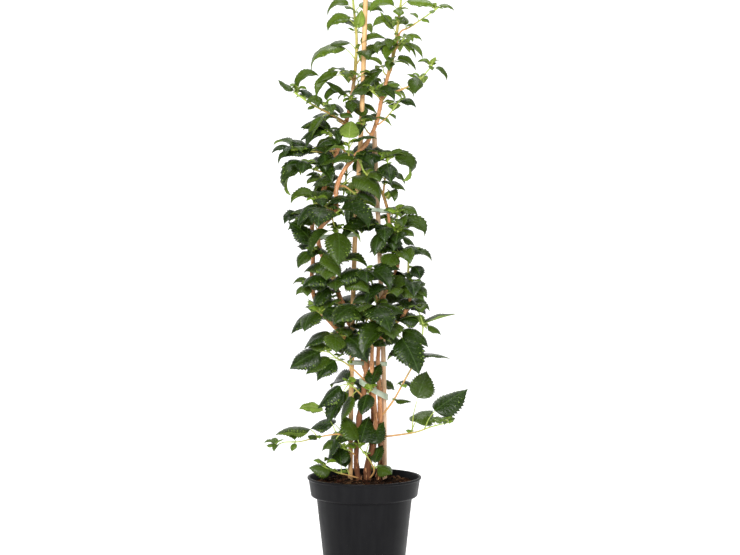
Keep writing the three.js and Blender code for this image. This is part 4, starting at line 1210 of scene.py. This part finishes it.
for name, plan in stems.items():
    chance = random.Random(name)
    heap = Heap()
    line = smoothLine(plan["line"])
    total = lengthsAlong(line)[-1]
    count = int(total / stemShape["step"])
    shares = np.linspace(0, 1, count)
    points = pointsAt(line, shares)
    first, last = plan["radius"]
    distance = shares * total
    angles = np.arange(stemShape["sides"]) * 2 * math.pi / stemShape["sides"]
    base = (first + (last - first) * shares)[:, None]
    every = stemShape["knotEvery"]
    knotsAt = [every * k + chance.uniform(-7, 7) for k in range(1, int(total / every))]
    knots = sum(np.exp(-(((distance - at) / stemShape["knotReach"]) ** 2)) for at in knotsAt)[:, None]
    ridges = 0
    for n in (2, 3, 5, 7):
        start = chance.uniform(0, 6)
        swing = np.sin(distance / chance.uniform(14, 30))[:, None] * 1.4
        ridges = ridges + np.sin(angles[None, :] * n + start + swing) * chance.uniform(0.4, 1)
    grain = np.array([[chance.uniform(-1, 1) for _ in angles] for _ in shares])
    relief = stemShape["knotSize"] * knots + stemShape["ridge"] * ridges + stemShape["grain"] * grain
    addTube(heap, points, base * (1 + relief), stemShape["sides"])
    tangents, across, outward = framesAlong(points)
    for _ in range(stemShape["flakes"]):
        at = chance.randrange(4, count - 14)
        angle = chance.uniform(0, 2 * math.pi)
        away = across[at] * math.cos(angle) + outward[at] * math.sin(angle)
        size = (
            chance.uniform(*stemShape["flakeLength"]), chance.uniform(*stemShape["flakeWidth"]),
            stemShape["flakeThickness"],
        )
        flip = chance.choice([-1, 1])
        addFlake(heap, points[at] + away * base[at][0] * 1.06, tangents[at] * flip, away,
                 np.cross(tangents[at], away) * flip, size, chance)
    put(heap.piece(name + "_wood", [bark]), "stem", name)
print("stems grown")


caneShape = {"radius": 3.2, "sides": 24, "step": 4.0, "jointEvery": 105, "jointSwell": 0.16}
caneColours = {
    "cane_left": caneMaterial("golden bamboo", False),
    "cane_right": caneMaterial("weathered bamboo", True),
}


for name, route in canes.items():
    chance = random.Random(name)
    heap = Heap()
    line = smoothLine(route)
    total = lengthsAlong(line)[-1]
    joints = np.arange(chance.uniform(30, 60), total, caneShape["jointEvery"])
    plain = np.arange(0, total, caneShape["step"])
    fine = [np.linspace(max(0, j - 4), min(total, j + 4), 17) for j in joints]
    distance = np.unique(np.concatenate([plain, *fine, [total]]))
    points = pointsAt(line, distance / total)
    angles = np.arange(caneShape["sides"]) * 2 * math.pi / caneShape["sides"]
    swell = sum(np.exp(-(((distance - j) / 1.1) ** 2)) - 0.45 * np.exp(-(((distance - j - 2) / 0.7) ** 2))
                + 0.35 * np.exp(-(((distance - j) / 9) ** 2)) for j in joints)
    oval = 1 + 0.02 * np.cos(angles * 2)[None, :] + 0.012 * np.sin(angles * 5 + 1)[None, :]
    radii = caneShape["radius"] * (1 + caneShape["jointSwell"] * swell)[:, None] * oval * 0.97
    addTube(heap, points, radii, caneShape["sides"])
    made = heap.piece(name + "_bamboo", [caneColours[name]])
    put(made, "cane", name)
print("canes made")


tieShape = {"thickness": 0.8, "stepsPerSpan": 8}
tiePlastic = tieMaterial()
for name, plan in ties.items():
    heap = Heap()
    spans = len(plan["loop"])
    left = plan["loop"][0][0]
    knots = [(x, y, plan["height"] + plan["tilt"] * (x - left)) for x, y in plan["loop"]]
    loop = smoothLine(knots, closed=True)
    count = spans * tieShape["stepsPerSpan"]
    points = pointsAt(loop, np.arange(count) / count)
    tangents = np.roll(points, -1, axis=0) - np.roll(points, 1, axis=0)
    away = np.column_stack([tangents[:, 1], -tangents[:, 0], np.zeros(count)])
    away /= np.linalg.norm(away, axis=1)[:, None]
    half, thick = plan["width"] / 2, tieShape["thickness"] / 2
    section = [(1, -0.82), (0.6, -1), (-0.6, -1), (-1, -0.82), (-1, 0.82), (-0.6, 1), (0.6, 1), (1, 0.82)]
    rings = np.stack([points + away * thick * a + up * half * b for a, b in section], axis=1)
    distance = np.repeat(np.arange(count) * lengthsAlong(loop)[-1] / count, len(section))
    spots = np.column_stack([distance, distance * 0, distance * 0])
    heap.add(rings, ringFaces(count, len(section), looped=True), 0, spots)
    put(heap.piece(name + "_band", [tiePlastic]), "tie", name)
print("ties made")


potShape = {
    "height": 140, "rimRadius": 75, "lipHeight": 2.6, "bandTop": 73.4, "bandBottom": 70.2, "bandHeight": 24,
    "shoulder": 63, "base": 50.5, "wall": 1.4, "floor": 2, "sides": 160,
    "holes": 8, "holeRadius": 4.5, "holeCircle": 38,
}


# Rounds each inner corner of a profile by up to the stated distance.
def rounded(profile, size):
    out = [profile[0]]
    for before, corner, after in zip(profile, profile[1:], profile[2:]):
        a, b, c = np.array(before, float), np.array(corner, float), np.array(after, float)
        reach = min(size, np.linalg.norm(b - a) * 0.45, np.linalg.norm(c - b) * 0.45)
        start, end = b + unit(a - b) * reach, b + unit(c - b) * reach
        out += [tuple((1 - t) ** 2 * start + 2 * t * (1 - t) * b + t * t * end) for t in (0, 0.33, 0.67, 1)]
    return out + [profile[-1]]


def circle(radius, z, sides):
    angles = np.arange(sides) * 2 * math.pi / sides
    return np.column_stack([radius * np.cos(angles), radius * np.sin(angles), np.full(sides, z)])


# A profile turned round the pot's axis. Its first and last points lie on the axis.
def lathed(heap, profile, sides):
    ring = [circle(r, z, sides) for r, z in profile[1:-1]]
    faces = ringFaces(len(ring), sides)[:-2]
    count = len(ring) * sides
    bottom, top = [(0, 0, profile[0][1])], [(0, 0, profile[-1][1])]
    faces += [(count, (j + 1) % sides, j) for j in range(sides)]
    faces += [(count + 1, count - sides + j, count - sides + (j + 1) % sides) for j in range(sides)]
    heap.add(np.vstack([*ring, bottom, top]), faces)


def makePot():
    p = potShape
    top, wall, band = p["height"], p["wall"], p["bandBottom"]
    lip = top - p["lipHeight"]
    shoulder = lip - p["bandHeight"]

    def inner(z):
        return p["base"] + (p["shoulder"] - p["base"]) * z / shoulder - wall

    profile = [
        (0, 0), (p["base"] - 1.5, 0), (p["base"], 1.5), (p["shoulder"], shoulder),
        (band - 2.2, shoulder + 0.6), (band, shoulder + 2.2), (p["bandTop"], lip - 0.8),
        (p["rimRadius"], lip), (p["rimRadius"], top), (p["bandTop"] - wall, top),
        (band - wall, shoulder + 3 + wall), (band - wall - 2.1, shoulder + 0.6 + wall),
        (inner(shoulder), shoulder + 0.2 + wall), (inner(p["floor"]), p["floor"]), (0, p["floor"]),
    ]
    heap = Heap()
    lathed(heap, rounded(profile, 1.1), p["sides"])
    made = heap.piece("pot_shell", [potMaterial()])
    for i in range(p["holes"]):
        angle = 2 * math.pi * (i + 0.5) / p["holes"]
        place = Vector((math.cos(angle), math.sin(angle), 0)) * p["holeCircle"] * mm
        radius = p["holeRadius"] * mm
        bpy.ops.mesh.primitive_cylinder_add(vertices=24, radius=radius, depth=20 * mm, location=place)
        drill = bpy.context.object
        cut = made.modifiers.new("drain", "BOOLEAN")
        cut.operation, cut.object, cut.solver = "DIFFERENCE", drill, "EXACT"
        bpy.context.view_layer.objects.active = made
        bpy.ops.object.modifier_apply(modifier=cut.name)
        bpy.data.objects.remove(drill)
    for face in made.data.polygons:
        face.use_smooth = True
    made.data.set_sharp_from_angle(angle=math.radians(38))
    put(made, "pot", "nursery_pot")


makePot()
print("pot made")


soilShape = {
    "level": 131.5, "mound": 2.5, "radius": 68.0, "sides": 96,
    # each kind of lump: how many, and the sizes they come in
    "lumps": {"crumb": (1700, 2.2, 5.2), "grain": (1300, 1.0, 2.2), "chip": (130, 5.0, 9.0)},
}


def soilHeight(x, y):
    share = min(1.0, math.hypot(x, y) / soilShape["radius"])
    ripple = 0.5 * math.sin(x * 0.21 + 1) * math.cos(y * 0.17) + 0.35 * math.sin(x * 0.43 - y * 0.37)
    return soilShape["level"] + soilShape["mound"] * (1 - share**1.5) + ripple - 0.9


# A lump of four rings of six corners knocked about, narrower at its top and bottom ring, then flattened,
# tipped and turned.
def addCrumb(heap, place, size, flat, chance, tone):
    turn = chance.uniform(0, 2 * math.pi)
    tip = chance.uniform(-0.6, 0.6)
    rings = []
    for level, spread in ((-0.8, 0.55), (-0.2, 1.0), (0.45, 0.95), (0.9, 0.45)):
        ring = []
        for j in range(6):
            angle = 2 * math.pi * j / 6 + chance.uniform(-0.3, 0.3)
            reach = size / 2 * spread * chance.uniform(0.7, 1.15)
            x, y, z = reach * math.cos(angle), reach * math.sin(angle) * 0.72, level * size / 2 * flat
            x, z = x * math.cos(tip) - z * math.sin(tip), x * math.sin(tip) + z * math.cos(tip)
            ring.append((x * math.cos(turn) - y * math.sin(turn), x * math.sin(turn) + y * math.cos(turn), z))
        rings.append(ring)
    heap.add(np.array(rings).reshape(-1, 3) + place, ringFaces(4, 6), 0, None, tone)


def makeSoil():
    chance = random.Random(11)
    s = soilShape
    heap = Heap()
    floor = potShape["floor"] + 0.6
    profile = [(48, floor), (60.5, 114), (61, 116.5), (66, 118.5), (s["radius"], 122)]
    profile += [(s["radius"], s["level"] - 1.2)]
    rings = [circle(r, z, s["sides"]) for r, z in profile]
    for r in np.linspace(s["radius"] - 1, 3, 22):
        ring = circle(r, 0, s["sides"])
        ring[:, 2] = [soilHeight(x, y) - 0.2 for x, y, _ in ring]
        rings.append(ring)
    heap.add(np.vstack(rings), ringFaces(len(rings), s["sides"]), 0, None, (0.25, 0, 0))
    for kind, (count, low, high) in s["lumps"].items():
        for _ in range(count):
            radius = (s["radius"] - high / 2 - 0.6) * math.sqrt(chance.random())
            angle = chance.uniform(0, 2 * math.pi)
            x, y = radius * math.cos(angle), radius * math.sin(angle)
            size = chance.uniform(low, high)
            lift = chance.uniform(-0.1, 0.35) * size if kind != "grain" else chance.uniform(0.2, 2.2)
            pale = chance.random() ** 6 * 0.9
            flat = chance.uniform(0.35, 0.8)
            place = np.array([x, y, soilHeight(x, y) + lift])
            addCrumb(heap, place, size, flat, chance, (chance.random(), pale, 0))
    put(heap.piece("compost_surface", [soilMaterial()], smooth=False), "soil", "potting_soil")


makeSoil()
print("compost made")


studio = {
    "floor": (0.82, 0.82, 0.82),
    "glow": 0.7,
    "world": 0.16,
    # each light: where it stands and what it faces in metres, its width and height, its power
    "lights": {
        "key": ((-0.6, -2.1, 1.25), (0, 0, 0.42), (0.9, 0.9), 58),
        "fill": ((1.4, -1.5, 0.8), (0, 0, 0.4), (0.7, 1.3), 9),
        "top": ((0.15, 0.35, 2.1), (0, 0, 0.5), (1.3, 1.0), 24),
    },
    "cameraAt": (7.5, -1750, 401.6),
    "sensor": 36,
    "lens": 64.605,
}


def makeStage():
    shader = Shader("pale studio floor", 0.9, 0.1)
    cloud = shader.noise(3.0, 2.0)
    shader.set("Base Color", shader.mix(cloud, studio["floor"], tuple(v * 0.985 for v in studio["floor"])))
    shader.set("Emission Color", studio["floor"])
    shader.set("Emission Strength", studio["glow"])
    sweep = [(-2.2, 0.0), (1.8, 0.0), (2.3, 0.09), (2.6, 0.4), (2.7, 0.9), (2.7, 3.4)]
    path = smoothLine([(0, y, z) for y, z in sweep], perSpan=10)
    vertices = [(x, y, z - 0.0003) for _, y, z in path for x in (-9, 9)]
    faces = [(2 * i, 2 * i + 1, 2 * i + 3, 2 * i + 2) for i in range(len(path) - 1)]
    mesh = bpy.data.meshes.new("studio_floor")
    mesh.from_pydata(vertices, [], faces)
    mesh.materials.append(shader.material)
    floor = bpy.data.objects.new("studio_floor", mesh)
    bpy.context.scene.collection.objects.link(floor)


def areaLight(name, place, target, size, power):
    light = bpy.data.lights.new(name, "AREA")
    light.shape, light.size, light.size_y = "RECTANGLE", size[0], size[1]
    light.energy = power
    made = bpy.data.objects.new(name, light)
    made.location = place
    made.rotation_euler = (Vector(target) - Vector(place)).to_track_quat("-Z", "Y").to_euler()
    bpy.context.scene.collection.objects.link(made)


def makeLights():
    world = bpy.data.worlds.new("studio")
    bpy.context.scene.world = world
    world.use_nodes = True
    world.node_tree.nodes["Background"].inputs["Color"].default_value = (1, 1, 1, 1)
    world.node_tree.nodes["Background"].inputs["Strength"].default_value = studio["world"]
    for name, (place, target, size, power) in studio["lights"].items():
        areaLight(name, place, target, size, power)


def makeCamera():
    lens = bpy.data.cameras.new("camera")
    lens.sensor_width = studio["sensor"]
    lens.lens = studio["lens"]
    made = bpy.data.objects.new("camera", lens)
    made.location = Vector(studio["cameraAt"]) * mm
    made.rotation_euler = (math.pi / 2, 0, 0)
    bpy.context.scene.collection.objects.link(made)
    bpy.context.scene.camera = made


bpy.context.scene.view_settings.view_transform = "Standard"
makeStage()
makeLights()
makeCamera()
print("studio set")
